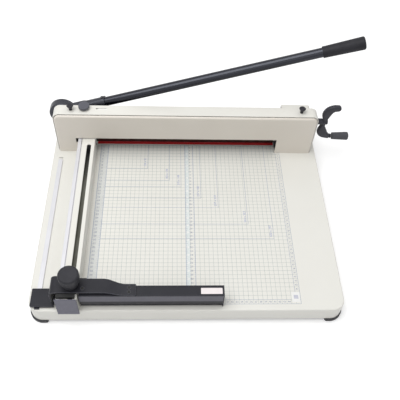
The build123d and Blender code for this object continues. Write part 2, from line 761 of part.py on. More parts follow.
# ---------------------------------------------------------------- lever
lever_turn = radians(lever_angle)
lever_dir = (cos(lever_turn), 0, sin(lever_turn))
lever_plane = Plane(origin=(pivot_x, lever_y, pivot_z), x_dir=lever_dir, z_dir=(0, -1, 0))
lever_axis = Axis((pivot_x, lever_y, pivot_z), lever_dir)
arm_plane = lever_plane.offset(-lever_arm_width / 2)
drive_turn = radians(drive_angle - lever_angle)
drive_place = (drive_radius * cos(drive_turn), drive_radius * sin(drive_turn))
tube_start = drive_place[0] + drive_pin_radius + tube_setback
tube_end = lever_length - grip_lip

with BuildPart() as lever_arm:
    with BuildSketch(arm_plane):
        with BuildSketch(mode=Mode.PRIVATE) as web:
            Circle(web_half)
            with Locations(drive_place):
                Circle(boss_radius)
        add(make_hull(web.sketch.edges()))
        Circle(hub_radius)
    extrude(amount=lever_arm_width)
    fillet(lever_arm.faces().filter_by(Axis.Y).edges(), arm_edge)
    with BuildSketch(lever_plane):
        Polygon((drive_place[0], 0), (drive_place[0], socket_radius), (socket_reach - collar_width, socket_radius),
                (socket_reach - collar_width, collar_radius), (socket_reach, collar_radius),
                (socket_reach, 0), align=None)
    revolve(axis=lever_axis)
    with BuildSketch(lever_plane):
        Polygon((tube_start, 0), (tube_start, tube_radius), (socket_reach, tube_radius),
                (socket_reach, 0), align=None)
    revolve(axis=lever_axis, mode=Mode.SUBTRACT)
    with BuildSketch(lever_plane.offset(-collar_radius)):
        Circle(pivot_radius + running + bush_wall)
        with Locations(drive_place):
            Circle(drive_pin_radius)
    extrude(amount=2 * collar_radius, mode=Mode.SUBTRACT)
lever_arm.part.label = "lever_arm"
export_step(lever_arm.part, "parts/lever_arm.step")

with BuildPart() as lever_bush:
    disc_y(pivot_x, pivot_z, pivot_radius + running + bush_wall, arm_y)
    disc_y(pivot_x, pivot_z, pivot_radius + running, arm_y, Mode.SUBTRACT)
lever_bush.part.label = "lever_bush"
export_step(lever_bush.part, "parts/lever_bush.step")

with BuildPart() as drive_pin:
    disc_y(drive_x, drive_z, drive_pin_radius, (carrier_y[0], arm_y[1]))
    disc_y(drive_x, drive_z, drive_head_radius, (carrier_y[0] - drive_head, carrier_y[0]))
drive_pin.part.label = "drive_pin"
export_step(drive_pin.part, "parts/drive_pin.step")

with BuildPart() as lever_tube:
    with BuildSketch(lever_plane):
        Polygon((tube_start, tube_radius - tube_wall), (tube_start, tube_radius),
                (tube_end, tube_radius), (tube_end, tube_radius - tube_wall), align=None)
    revolve(axis=lever_axis)
lever_tube.part.label = "lever_tube"
export_step(lever_tube.part, "parts/lever_tube.step")

collar_mid = socket_reach - collar_width / 2
with BuildPart() as tube_screw:
    with BuildSketch(lever_plane):
        Polygon((collar_mid, collar_radius), (collar_mid + collar_screw_radius, collar_radius),
                (collar_mid + collar_screw_radius, collar_radius + collar_screw_height),
                (collar_mid, collar_radius + collar_screw_height), align=None)
    revolve(axis=Axis(lever_plane.from_local_coords(Vector(collar_mid, 0, 0)), lever_plane.y_dir))
tube_screw.part.label = "tube_screw"
export_step(tube_screw.part, "parts/tube_screw.step")

grip_start = lever_length - grip_length
with BuildPart() as lever_grip:
    with BuildSketch(lever_plane):
        with BuildLine():
            Polyline((grip_start, tube_radius), (grip_start, grip_root_radius),
                     (lever_length - grip_rounding, grip_end_radius))
            TangentArc((lever_length - grip_rounding, grip_end_radius),
                       (lever_length, grip_end_radius - grip_rounding), tangent=(1, 0))
            Polyline((lever_length, grip_end_radius - grip_rounding), (lever_length, 0), (tube_end, 0),
                     (tube_end, tube_radius), (grip_start, tube_radius))
        make_face()
    revolve(axis=lever_axis)
lever_grip.part.label = "lever_grip"
export_step(lever_grip.part, "parts/lever_grip.step")

nut_y = (arm_y[1] + slip, arm_y[1] + slip + nut_flange + nut_height)
with BuildPart() as pivot_shaft:
    disc_y(pivot_x, pivot_z, pivot_radius, (cut_y - pivot_depth, nut_y[1]))
pivot_shaft.part.label = "pivot_shaft"
export_step(pivot_shaft.part, "parts/pivot_shaft.step")

with BuildPart() as pivot_nut:
    disc_y(pivot_x, pivot_z, nut_flange_radius, (nut_y[0], nut_y[0] + nut_flange))
    with BuildSketch(Plane.XZ.offset(-nut_y[1])):
        with Locations((pivot_x, pivot_z)):
            RegularPolygon(nut_across / 2, 6, major_radius=False)
    extrude(amount=nut_height)
    disc_y(pivot_x, pivot_z, pivot_radius, nut_y, Mode.SUBTRACT)
pivot_nut.part.label = "pivot_nut"
export_step(pivot_nut.part, "parts/pivot_nut.step")

# ---------------------------------------------------------------- blade and carrier
carrier_x = (guide_x - carrier_left, guide_x + carrier_right)
carrier_z = (bed_z + carrier_low, bed_z + carrier_high)
blade_x = (guide_x - blade_left, guide_x + blade_right)
blade_z = (bed_z + blade_rest, bed_z + blade_rest + blade_height)
blade_screw_x = [
    sum(blade_x) / 2 + blade_screw_pitch * (index - (blade_screw_count - 1) / 2)
    for index in range(blade_screw_count)
]
blade_screw_z = bed_z + blade_screw_height

with BuildPart() as blade_carrier:
    block(carrier_x, carrier_y, carrier_z)
    disc_y(drive_x, drive_z, carrier_ear, carrier_y)
    block((carrier_x[1] - tongue_half, roller_rest_x), carrier_y, (roller_z - tongue_half, roller_z + tongue_half))
    disc_y(roller_rest_x, roller_z, tongue_half, carrier_y)
    disc_y(drive_x, drive_z, drive_pin_radius + running + bush_wall / 2, carrier_y, Mode.SUBTRACT)
    disc_y(roller_rest_x, roller_z, roller_pin_radius, carrier_y, Mode.SUBTRACT)
    for screw_x in blade_screw_x:
        disc_y(screw_x, blade_screw_z, blade_screw_radius, carrier_y, Mode.SUBTRACT)
blade_carrier.part.label = "blade_carrier"
export_step(blade_carrier.part, "parts/blade_carrier.step")

with BuildPart() as carrier_bush:
    disc_y(drive_x, drive_z, drive_pin_radius + running + bush_wall / 2, carrier_y)
    disc_y(drive_x, drive_z, drive_pin_radius + running, carrier_y, Mode.SUBTRACT)
carrier_bush.part.label = "carrier_bush"
export_step(carrier_bush.part, "parts/carrier_bush.step")

with BuildPart() as blade:
    with BuildSketch(Plane.YZ.offset(blade_x[0])):
        Polygon((cut_y, blade_z[0]), (cut_y + blade_edge, blade_z[0]),
                (carrier_y[0], blade_z[0] + blade_bevel), (carrier_y[0], blade_z[1]),
                (cut_y, blade_z[1]), align=None)
    extrude(amount=blade_x[1] - blade_x[0])
    for screw_x in blade_screw_x:
        disc_y(screw_x, blade_screw_z, blade_screw_radius, (cut_y + 1, carrier_y[0]), Mode.SUBTRACT)
blade.part.label = "blade"
export_step(blade.part, "parts/blade.step")

with BuildPart() as blade_screws:
    for screw_x in blade_screw_x:
        disc_y(screw_x, blade_screw_z, blade_screw_radius, (cut_y + 1, carrier_y[1]))
        disc_y(screw_x, blade_screw_z, 2 * blade_screw_radius, (carrier_y[1], carrier_y[1] + blade_screw_head))
blade_screws.part.label = "blade_screws"
export_step(blade_screws.part, "parts/blade_screws.step")

with BuildPart() as guide_roller:
    disc_y(roller_rest_x, roller_z, roller_radius, roller_y)
    disc_y(roller_rest_x, roller_z, roller_pin_radius + running, roller_y, Mode.SUBTRACT)
guide_roller.part.label = "guide_roller"
export_step(guide_roller.part, "parts/guide_roller.step")

with BuildPart() as roller_pin:
    disc_y(roller_rest_x, roller_z, roller_pin_radius, (roller_y[0], carrier_y[1]))
    disc_y(roller_rest_x, roller_z, roller_pin_radius + roller_pin_head, (roller_y[1] + slip, carrier_y[0]))
roller_pin.part.label = "roller_pin"
export_step(roller_pin.part, "parts/roller_pin.step")

# ---------------------------------------------------------------- clamp
clamp_x = (left_column_x[1] - clamp_tongue, right_column_x[0] + clamp_tongue)
foot_x = (guide_x - clamp_foot_left, guide_x + clamp_foot_right)

with BuildPart() as clamp_beam:
    block(clamp_x, clamp_y, (clamp_low + clamp_foot, bed_z + clamp_top))
    block(foot_x, (cut_y - clamp_foot_front, clamp_y[1]), (clamp_low, clamp_low + clamp_foot))
clamp_beam.part.label = "clamp_beam"
export_step(clamp_beam.part, "parts/clamp_beam.step")

with BuildPart() as clamp_pad_strip:
    block((foot_x[0] + 1, foot_x[1] - 1), (cut_y - clamp_foot_front + 1, clamp_y[1] - 1),
          (clamp_low - clamp_pad, clamp_low))
clamp_pad_strip.part.label = "clamp_pad"
export_step(clamp_pad_strip.part, "parts/clamp_pad.step")

# racks: straight teeth facing the pinions, with a gap level with the pinion shaft
tooth_pitch = pi * gear_module
rack_z = (bed_z + rack_ends[0], bed_z + rack_ends[1])
rack_root = clamp_y[0] - rack_back
rack_tip = rack_root - gear_module * (tooth_root + tooth_tip)
first_gap = int((rack_z[0] - pinion_z) / tooth_pitch)
last_gap = int((rack_z[1] - pinion_z) / tooth_pitch)
rack_points = [(clamp_y[0], rack_z[0]), (rack_root, rack_z[0])]
for gap in range(first_gap, last_gap):
    tooth_z = pinion_z + (gap + 0.5) * tooth_pitch
    rack_points += [
        (rack_root, tooth_z - gear_module * root_half),
        (rack_tip, tooth_z - gear_module * tip_half),
        (rack_tip, tooth_z + gear_module * tip_half),
        (rack_root, tooth_z + gear_module * root_half),
    ]
rack_points += [(rack_root, rack_z[1]), (clamp_y[0], rack_z[1])]

for number, rack_place in enumerate(rack_x, 1):
    with BuildPart() as rack:
        with BuildSketch(Plane.YZ.offset(guide_x + rack_place - rack_width / 2)):
            Polygon(*rack_points, align=None)
        extrude(amount=rack_width)
    rack.part.label = f"rack_{number}"
    export_step(rack.part, f"parts/rack_{number}.step")

# ---------------------------------------------------------------- clamp drive


def meshed_tooth(driver_teeth, driver_tooth, driven_teeth, direction):
    # where the driven gear's first tooth stands, for a driver tooth at a known angle
    offset = driver_tooth - direction
    gap_angle = direction + 180 - offset * driver_teeth / driven_teeth
    return gap_angle + 180 / driven_teeth


to_idler = degrees(atan2(idler_z - pinion_z, idler_y - pinion_y))
to_crank = degrees(atan2(crank_shaft_z - idler_z, crank_shaft_y - idler_y))
idler_tooth = meshed_tooth(shaft_gear_teeth, to_idler, idler_teeth, to_idler)
crank_tooth = meshed_tooth(idler_teeth, idler_tooth, crank_gear_teeth, to_crank)
shaft_x = (left_column_x[1] - pinion_shaft_end, gear_x[1])

with BuildPart() as pinion_shaft:
    disc_x(pinion_y, pinion_z, pinion_shaft_radius, shaft_x)
    for rack_place in rack_x:
        gear(pinion_teeth, pinion_y, pinion_z,
             (guide_x + rack_place - rack_width / 2, guide_x + rack_place + rack_width / 2),
             0, pinion_shaft_radius)
pinion_shaft.part.label = "pinion_shaft"
export_step(pinion_shaft.part, "parts/pinion_shaft.step")

with BuildPart() as shaft_gear:
    gear(shaft_gear_teeth, pinion_y, pinion_z, gear_x, to_idler, pinion_shaft_radius)
shaft_gear.part.label = "shaft_gear"
export_step(shaft_gear.part, "parts/shaft_gear.step")

with BuildPart() as idler_gear:
    gear(idler_teeth, idler_y, idler_z, gear_x, idler_tooth, idler_stud_radius + running)
idler_gear.part.label = "idler_gear"
export_step(idler_gear.part, "parts/idler_gear.step")

with BuildPart() as crank_gear:
    gear(crank_gear_teeth, crank_shaft_y, crank_shaft_z, gear_x, crank_tooth, crank_shaft_radius)
crank_gear.part.label = "crank_gear"
export_step(crank_gear.part, "parts/crank_gear.step")

hub_x = (guide_x + crank_hub_start, guide_x + crank_hub_end)
crank_shaft_end = hub_x[0] + crank_hub_bore
with BuildPart() as crank_shaft:
    disc_x(crank_shaft_y, crank_shaft_z, crank_shaft_radius,
           (right_column_x[1] - crank_shaft_depth, crank_shaft_end))
crank_shaft.part.label = "crank_shaft"
export_step(crank_shaft.part, "parts/crank_shaft.step")

lean = radians(crank_tilt)
crank_plane = Plane(
    origin=(guide_x, crank_shaft_y, crank_shaft_z),
    x_dir=(1, 0, 0),
    z_dir=(0, -cos(lean), -sin(lean)),
)
crank_grip_y = crank_shaft_y + crank_radius * sin(lean)
crank_grip_z = crank_shaft_z - crank_radius * cos(lean)
boss_x = (guide_x + crank_boss_x, guide_x + crank_boss_x + crank_boss_length)

with BuildPart() as crank_arm:
    with BuildSketch(crank_plane.offset(-crank_thickness / 2)):
        for chain in (crank_upper, crank_lower):
            for near, far in zip(chain, chain[1:]):
                with BuildSketch(mode=Mode.PRIVATE) as link:
                    for x, height, half in (near, far):
                        with Locations((x, height)):
                            Circle(half)
                add(make_hull(link.sketch.edges()))
    extrude(amount=crank_thickness)
    fillet(crank_arm.faces().filter_by(Axis(crank_plane.origin, crank_plane.z_dir)).edges(), crank_edge)
    disc_x(crank_shaft_y, crank_shaft_z, crank_hub_radius, hub_x)
    disc_x(crank_grip_y, crank_grip_z, crank_boss_radius, boss_x)
    disc_x(crank_shaft_y, crank_shaft_z, crank_shaft_radius, (hub_x[0], crank_shaft_end), Mode.SUBTRACT)
    disc_x(crank_grip_y, crank_grip_z, grip_pin_radius, boss_x, Mode.SUBTRACT)
crank_arm.part.label = "crank_arm"
export_step(crank_arm.part, "parts/crank_arm.step")

crank_grip_x = (guide_x + crank_grip_start, guide_x + crank_grip_start + crank_grip_length)
pin_head_x = (crank_grip_x[1] - 2 * grip_pin_head, crank_grip_x[1] - grip_pin_head)

with BuildPart() as grip_pin:
    disc_x(crank_grip_y, crank_grip_z, grip_pin_radius, (boss_x[0], pin_head_x[0]))
    disc_x(crank_grip_y, crank_grip_z, grip_pin_radius + 1, (boss_x[1], crank_grip_x[0] - slip))
    disc_x(crank_grip_y, crank_grip_z, grip_pin_head_radius, pin_head_x)
grip_pin.part.label = "grip_pin"
export_step(grip_pin.part, "parts/grip_pin.step")

grip_axis = Axis((0, crank_grip_y, crank_grip_z), (1, 0, 0))
with BuildPart() as crank_grip:
    with BuildSketch(Plane.XZ.offset(-crank_grip_y)):
        with BuildLine():
            Polyline((crank_grip_x[0], crank_grip_z), (crank_grip_x[0], crank_grip_z + crank_grip_small),
                     (crank_grip_x[1] - crank_grip_rounding, crank_grip_z + crank_grip_large))
            TangentArc((crank_grip_x[1] - crank_grip_rounding, crank_grip_z + crank_grip_large),
                       (crank_grip_x[1], crank_grip_z + crank_grip_large - crank_grip_rounding),
                       tangent=(1, 0))
            Polyline((crank_grip_x[1], crank_grip_z + crank_grip_large - crank_grip_rounding),
                     (crank_grip_x[1], crank_grip_z), (crank_grip_x[0], crank_grip_z))
        make_face()
    revolve(axis=grip_axis)
    disc_x(crank_grip_y, crank_grip_z, grip_pin_radius + running, crank_grip_x, Mode.SUBTRACT)
    disc_x(crank_grip_y, crank_grip_z, grip_pin_head_radius + slip,
           (pin_head_x[0] - slip, crank_grip_x[1]), Mode.SUBTRACT)
crank_grip.part.label = "crank_grip"
export_step(crank_grip.part, "parts/crank_grip.step")

stop_z = (bed_z + clamp_top + slip, cover_top + stop_knob_lift)
with BuildPart() as stop_knob:
    disc_z(stop_x, stop_y, stop_screw_radius, stop_z)
    disc_z(stop_x, stop_y, stop_knob_radius, (stop_z[1], stop_z[1] + stop_knob_height))
    fillet(stop_knob.edges().filter_by(GeomType.CIRCLE).group_by(Axis.Z)[-1], stop_knob_rounding)
stop_knob.part.label = "stop_knob"
export_step(stop_knob.part, "parts/stop_knob.step")

# ---------------------------------------------------------------- back gauge
side_plate_z = (bed_z + low_strip_thickness + slip, bed_z + low_strip_thickness + slip + side_plate_thickness)
slider_y = (gauge_y[0] + saddle_sheet, gauge_y[1] - saddle_sheet)
bar_z = (bed_z + bar_low, bed_z + bar_high)
bar_x = (guide_x + bar_left, guide_x + bar_right)
bar_y = (cut_y - bar_front, cut_y - bar_front + bar_depth)
pad_y = (cut_y - pad_front, cut_y - pad_rear)
saddle_x = (guide_x - saddle_left, guide_x + saddle_right)
land_z = bar_z[1] + saddle_sheet
slider_top = saddle_z - saddle_sheet
bend_x = (guide_x + bridge_flat - saddle_sheet, guide_x + bridge_land + saddle_sheet)
gauge_screw_places = [
    (guide_x + saddle_screw_x, sum(bar_y) / 2 + saddle_screw_y, saddle_z),
    (guide_x + pad_screw_x, sum(pad_y) / 2 - pad_screw_y, land_z),
    (guide_x + pad_screw_x, sum(pad_y) / 2 + pad_screw_y, land_z),
]

with BuildPart() as gauge_side_plate:
    block((guide_x - side_plate_left, guide_x - side_plate_right),
          (cut_y - side_plate_front, cut_y - side_plate_rear), side_plate_z)
    fillet(gauge_side_plate.edges().filter_by(Axis.Z).group_by(Axis.X)[0], side_plate_corner)
gauge_side_plate.part.label = "gauge_side_plate"
export_step(gauge_side_plate.part, "parts/gauge_side_plate.step")

with BuildPart() as gauge_bracket:
    with BuildSketch(Plane.XZ.offset(-gauge_y[1])) as strip:
        Polygon(
            (saddle_x[0], side_plate_z[1]),
            (saddle_x[0], saddle_z),
            (guide_x + bridge_flat, saddle_z),
            (guide_x + bridge_land, land_z),
            (guide_x + bridge_end, land_z),
            (guide_x + bridge_end, bar_z[1]),
            (guide_x + bridge_land - 1, bar_z[1]),
            (guide_x + bridge_flat - 1, slider_top),
            (saddle_x[0] + saddle_sheet, slider_top),
            (saddle_x[0] + saddle_sheet, side_plate_z[1]),
            align=None,
        )
        fillet(strip.vertices().group_by(Axis.X)[0].sort_by(Axis.Y)[-1], saddle_bend)
        fillet(strip.vertices().sort_by_distance((saddle_x[0] + saddle_sheet, slider_top))[0],
               saddle_bend - saddle_sheet)
        fillet(strip.vertices().filter_by(lambda corner: bend_x[0] < corner.X < bend_x[1]), bridge_rise_bend)
    extrude(amount=gauge_y[1] - pad_y[0])
    # seen from above it narrows past the rail and spreads to a pad on the bar
    with BuildSketch(Plane.XY.offset(bed_z)) as plan:
        Polygon(
            (saddle_x[0], gauge_y[0]),
            (guide_x + bridge_flat, gauge_y[0]),
            (guide_x + bridge_land, pad_y[0]),
            (guide_x + bridge_end, pad_y[0]),
            (guide_x + bridge_end, pad_y[1]),
            (guide_x + bridge_land, pad_y[1]),
            (guide_x + bridge_flat, gauge_y[0] + bridge_setback),
            (saddle_x[1], gauge_y[0] + bridge_setback),
            (saddle_x[1], gauge_y[1]),
            (saddle_x[0], gauge_y[1]),
            align=None,
        )
        fillet(plan.vertices().group_by(Axis.X)[-1], pad_corner)
        fillet(plan.vertices().filter_by(lambda corner: bend_x[0] < corner.X < bend_x[1]), bridge_plan_bend)
    extrude(amount=saddle_z, mode=Mode.INTERSECT)
    disc_z(stud_x, stud_y, stud_radius, (slider_top, saddle_z), Mode.SUBTRACT)
    for screw_x, screw_y, head_top in gauge_screw_places:
        disc_z(screw_x, screw_y, gauge_screw_radius, (head_top - saddle_sheet, head_top), Mode.SUBTRACT)
        disc_z(screw_x, screw_y, gauge_screw_head_radius, (head_top - gauge_screw_head, head_top),
               Mode.SUBTRACT)
gauge_bracket.part.label = "gauge_bracket"
export_step(gauge_bracket.part, "parts/gauge_bracket.step")

with BuildPart() as gauge_slider:
    block((guide_x - slider_left, guide_x + slider_right), slider_y, (bar_z[1], slider_top))
    block((guide_x - slider_left, guide_x - saddle_right), slider_y,
          (bed_z + rail_height + slip, bar_z[1]))
    block((guide_x - slider_left, guide_x - nose_right), (cut_y - nose_front, slider_y[0]),
          (bed_z + rail_height + slip, slider_top))
    disc_z(stud_x, stud_y, stud_radius, (bed_z + rail_height + slip, slider_top), Mode.SUBTRACT)
    disc_z(*gauge_screw_places[0][:2], gauge_screw_radius, (bar_z[1], slider_top), Mode.SUBTRACT)
gauge_slider.part.label = "gauge_slider"
export_step(gauge_slider.part, "parts/gauge_slider.step")

with BuildPart() as gauge_bar:
    block(bar_x, bar_y, bar_z)
    block(bar_x, (bar_y[0] + bar_wall + bar_band_inset, bar_y[1] - bar_wall),
          (bar_z[0], bar_z[1] - bar_wall), Mode.SUBTRACT)
    block(bar_x, (bar_y[0], bar_y[0] + bar_band_inset), (bar_z[0], bar_z[0] + bar_band), Mode.SUBTRACT)
    for screw_x, screw_y, head_top in gauge_screw_places:
        disc_z(screw_x, screw_y, gauge_screw_radius, (bar_z[1] - bar_wall, bar_z[1]), Mode.SUBTRACT)
gauge_bar.part.label = "gauge_bar"
export_step(gauge_bar.part, "parts/gauge_bar.step")

with BuildPart() as gauge_bar_cap:
    block((bar_x[1], bar_x[1] + bar_cap), bar_y, bar_z)
gauge_bar_cap.part.label = "gauge_bar_cap"
export_step(gauge_bar_cap.part, "parts/gauge_bar_cap.step")

with BuildPart() as gauge_screws:
    for screw_x, screw_y, head_top in gauge_screw_places:
        disc_z(screw_x, screw_y, gauge_screw_radius, (bar_z[1] - bar_wall, head_top - gauge_screw_head))
        disc_z(screw_x, screw_y, gauge_screw_head_radius, (head_top - gauge_screw_head, head_top))
gauge_screws.part.label = "gauge_screws"
export_step(gauge_screws.part, "parts/gauge_screws.step")

tee_top = bed_z + rail_height - rail_wall - slip
with BuildPart() as tee_bolt:
    block((stud_x - tee_nut_width / 2, stud_x + tee_nut_width / 2),
          (stud_y - tee_nut_length / 2, stud_y + tee_nut_length / 2),
          (tee_top - tee_nut_height, tee_top))
    disc_z(stud_x, stud_y, stud_radius, (tee_top, bed_z + stud_top))
tee_bolt.part.label = "tee_bolt"
export_step(tee_bolt.part, "parts/tee_bolt.step")

knob_z = (saddle_z + slip, bed_z + gauge_knob_top)
with BuildPart() as gauge_knob:
    with BuildSketch(Plane.XZ.offset(-stud_y)):
        with BuildLine():
            Polyline((stud_x, knob_z[0]), (stud_x + gauge_knob_small, knob_z[0]),
                     (stud_x + gauge_knob_large, knob_z[1] - gauge_knob_rim),
                     (stud_x + gauge_knob_large, knob_z[1] - gauge_knob_rounding))
            TangentArc((stud_x + gauge_knob_large, knob_z[1] - gauge_knob_rounding),
                       (stud_x + gauge_knob_large - gauge_knob_rounding, knob_z[1]), tangent=(0, 1))
            Polyline((stud_x + gauge_knob_large - gauge_knob_rounding, knob_z[1]),
                     (stud_x, knob_z[1]), (stud_x, knob_z[0]))
        make_face()
    revolve(axis=Axis((stud_x, stud_y, 0), (0, 0, 1)))
    disc_z(stud_x, stud_y, stud_radius + running, (knob_z[0], bed_z + stud_top + slip), Mode.SUBTRACT)
gauge_knob.part.label = "gauge_knob"
export_step(gauge_knob.part, "parts/gauge_knob.step")
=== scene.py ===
import json
import math

import bpy
import numpy as np
from mathutils import Matrix, Vector


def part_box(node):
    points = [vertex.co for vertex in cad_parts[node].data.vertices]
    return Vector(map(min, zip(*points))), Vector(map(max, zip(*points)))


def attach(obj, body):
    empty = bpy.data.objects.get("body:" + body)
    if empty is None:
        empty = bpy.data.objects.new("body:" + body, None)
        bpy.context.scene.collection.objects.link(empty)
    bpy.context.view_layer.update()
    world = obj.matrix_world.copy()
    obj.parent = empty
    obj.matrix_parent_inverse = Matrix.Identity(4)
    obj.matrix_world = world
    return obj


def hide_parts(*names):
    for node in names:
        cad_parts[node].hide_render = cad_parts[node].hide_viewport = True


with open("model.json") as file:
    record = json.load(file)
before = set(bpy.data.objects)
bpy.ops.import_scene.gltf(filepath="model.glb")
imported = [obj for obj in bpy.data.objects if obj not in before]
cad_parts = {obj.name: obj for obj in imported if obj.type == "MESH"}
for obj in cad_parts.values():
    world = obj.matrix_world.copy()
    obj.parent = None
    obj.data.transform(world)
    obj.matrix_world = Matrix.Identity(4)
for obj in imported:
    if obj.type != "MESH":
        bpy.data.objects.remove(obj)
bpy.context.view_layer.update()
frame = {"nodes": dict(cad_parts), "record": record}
cadNodes = frame["nodes"]

stickLow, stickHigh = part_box("cutting_stick")
guideX = stickLow[0]                       # the guide's face
cutY = (stickLow[1] + stickHigh[1]) / 2    # the cut line
bedZ = stickHigh[2]                        # the table's top
mm = 0.001


def place(x, y, z):
    # millimetres from the corner of guide, cut line and table top, into the frame's metres
    return np.array((guideX + x * mm, cutY + y * mm, bedZ + z * mm))


print("frame loaded:", len(cadNodes), "nodes")

# finishes: base colour, the shade it drifts to, and the low and high roughness

finish = {
    "enamel": {"colour": (0.752, 0.744, 0.698), "shade": (0.738, 0.728, 0.680),
               "rough": (0.34, 0.44)},
    "cover": {"colour": (0.775, 0.765, 0.715), "shade": (0.755, 0.742, 0.690),
              "rough": (0.32, 0.42)},
    # the front cover: a darker, warmer copy of the cover's enamel, painted shade and reflection on
    # the upright face
    "coverFrontShaded": {"colour": (0.735, 0.690, 0.625), "shade": (0.715, 0.668, 0.600),
                   "rough": (0.34, 0.44)},
    "leverEnamel": {"colour": (0.003, 0.003, 0.006), "shade": (0.006, 0.006, 0.010),
                    "rough": (0.16, 0.24)},
    "leverCast": {"colour": (0.021, 0.022, 0.028), "shade": (0.027, 0.028, 0.035),
                  "rough": (0.24, 0.32)},
    "satinBlack": {"colour": (0.016, 0.016, 0.021), "shade": (0.022, 0.022, 0.028),
                   "rough": (0.36, 0.48)},
    "crankPaint": {"colour": (0.030, 0.030, 0.039), "shade": (0.036, 0.036, 0.046),
                   "rough": (0.36, 0.48)},
    # the end plate: black paint written lighter and bluer, a painted reflection on its front
    "reflectionGreyPaint": {"colour": (0.098, 0.097, 0.132), "shade": (0.116, 0.115, 0.152),
                  "rough": (0.36, 0.48)},
    "gripGrey": {"colour": (0.058, 0.058, 0.066), "shade": (0.072, 0.072, 0.081),
                 "rough": (0.46, 0.60)},
    "knobGrey": {"colour": (0.092, 0.094, 0.112), "shade": (0.105, 0.107, 0.126),
                 "rough": (0.46, 0.60)},
    "pad": {"colour": (0.020, 0.012, 0.008), "shade": (0.030, 0.018, 0.012),
            "rough": (0.70, 0.85)},
    "plastic": {"colour": (0.022, 0.022, 0.027), "shade": (0.030, 0.030, 0.036),
                "rough": (0.46, 0.60)},
    "grip": {"colour": (0.012, 0.012, 0.016), "shade": (0.018, 0.018, 0.023),
             "rough": (0.50, 0.62)},
    "rubber": {"colour": (0.035, 0.035, 0.038), "shade": (0.050, 0.050, 0.054),
               "rough": (0.62, 0.80)},
    "stick": {"colour": (0.70, 0.020, 0.026), "shade": (0.62, 0.017, 0.022),
              "rough": (0.40, 0.52)},
    "steel": {"colour": (0.56, 0.56, 0.57), "shade": (0.44, 0.44, 0.45),
              "rough": (0.22, 0.36)},
    "darkSteel": {"colour": (0.12, 0.12, 0.125), "shade": (0.08, 0.08, 0.085),
                  "rough": (0.34, 0.48)},
    "slotSteel": {"colour": (0.135, 0.135, 0.110), "shade": (0.100, 0.100, 0.080),
                  "rough": (0.45, 0.60)},
    "strip": {"colour": (0.70, 0.70, 0.73), "shade": (0.64, 0.64, 0.67),
              "rough": (0.30, 0.42)},
    "casting": {"colour": (0.012, 0.012, 0.012), "shade": (0.020, 0.020, 0.020),
                "rough": (0.50, 0.66)},
    "brass": {"colour": (0.62, 0.43, 0.16), "shade": (0.50, 0.34, 0.12),
              "rough": (0.24, 0.36)},
    "film": {"colour": (0.86, 0.80, 0.80), "shade": (0.80, 0.74, 0.74),
             "rough": (0.28, 0.36)},
}
coating = {                        # what every finish has in common
    "colourDetail": 3.0,
    "glossDetail": 4.0,
    "glossFiner": 6,               # the gloss drifts this many times finer than the colour
    "grainDetail": 2.0,
    "depth": 0.00006,              # m, of the relief
    "edgeSamples": 6,
    "rubbedAndLit": (0.86, 0.985),       # cosine of an edge's turn, from worn and lit paler right through to whole; the paler edge is wear and a painted highlight
}


def noiseOn(tree, scale, detail, stretch=(1, 1, 1)):
    # fractal noise on the piece's own object coordinates
    coord = tree.nodes.new("ShaderNodeTexCoord")
    mapping = tree.nodes.new("ShaderNodeMapping")
    mapping.inputs["Scale"].default_value = stretch
    noise = tree.nodes.new("ShaderNodeTexNoise")
    noise.inputs["Scale"].default_value = scale
    noise.inputs["Detail"].default_value = detail
    tree.links.new(coord.outputs["Object"], mapping.inputs["Vector"])
    tree.links.new(mapping.outputs["Vector"], noise.inputs["Vector"])
    return noise.outputs["Fac"]


def ramp(tree, factor, low, high, start=0.35, end=0.65):
    # a colour that runs from low to high as the factor goes from start to end
    node = tree.nodes.new("ShaderNodeValToRGB")
    node.color_ramp.elements[0].position = start
    node.color_ramp.elements[1].position = end
    node.color_ramp.elements[0].color = (*low, 1)
    node.color_ramp.elements[1].color = (*high, 1)
    tree.links.new(factor, node.inputs["Fac"])
    return node.outputs["Color"]


def spread(tree, factor, low, high, start=0.3, end=0.7):
    # a number that runs from low to high as the factor goes from start to end
    node = tree.nodes.new("ShaderNodeMapRange")
    node.inputs["From Min"].default_value = start
    node.inputs["From Max"].default_value = end
    node.inputs["To Min"].default_value = low
    node.inputs["To Max"].default_value = high
    tree.links.new(factor, node.inputs["Value"])
    return node.outputs["Result"]


def blend(tree, factor, base, over):
    # base where the factor is 0, over where it is 1
    node = tree.nodes.new("ShaderNodeMix")
    node.data_type = "RGBA"
    tree.links.new(factor, node.inputs["Factor"])
    tree.links.new(base, node.inputs["A"])
    node.inputs["B"].default_value = (*over, 1)
    return node.outputs["Result"]


def combine(tree, operation, first, second):
    node = tree.nodes.new("ShaderNodeMath")
    node.operation = operation
    tree.links.new(first, node.inputs[0])
    tree.links.new(second, node.inputs[1])
    return node.outputs[0]


def along(tree, axis, start, end):
    # 0 at start and 1 at end along one axis of the piece's own coordinates, in metres
    coord = tree.nodes.new("ShaderNodeTexCoord")
    split = tree.nodes.new("ShaderNodeSeparateXYZ")
    tree.links.new(coord.outputs["Object"], split.inputs[0])
    return spread(tree, split.outputs[axis], 0.0, 1.0, start, end)


def seenRay(tree):
    # 1 for a ray from the camera, off something glossy or through something clear, 0 for the rest
    path = tree.nodes.new("ShaderNodeLightPath")
    direct = combine(tree, "MAXIMUM", path.outputs["Is Camera Ray"], path.outputs["Is Glossy Ray"])
    return combine(tree, "MAXIMUM", direct, path.outputs["Is Transmission Ray"])


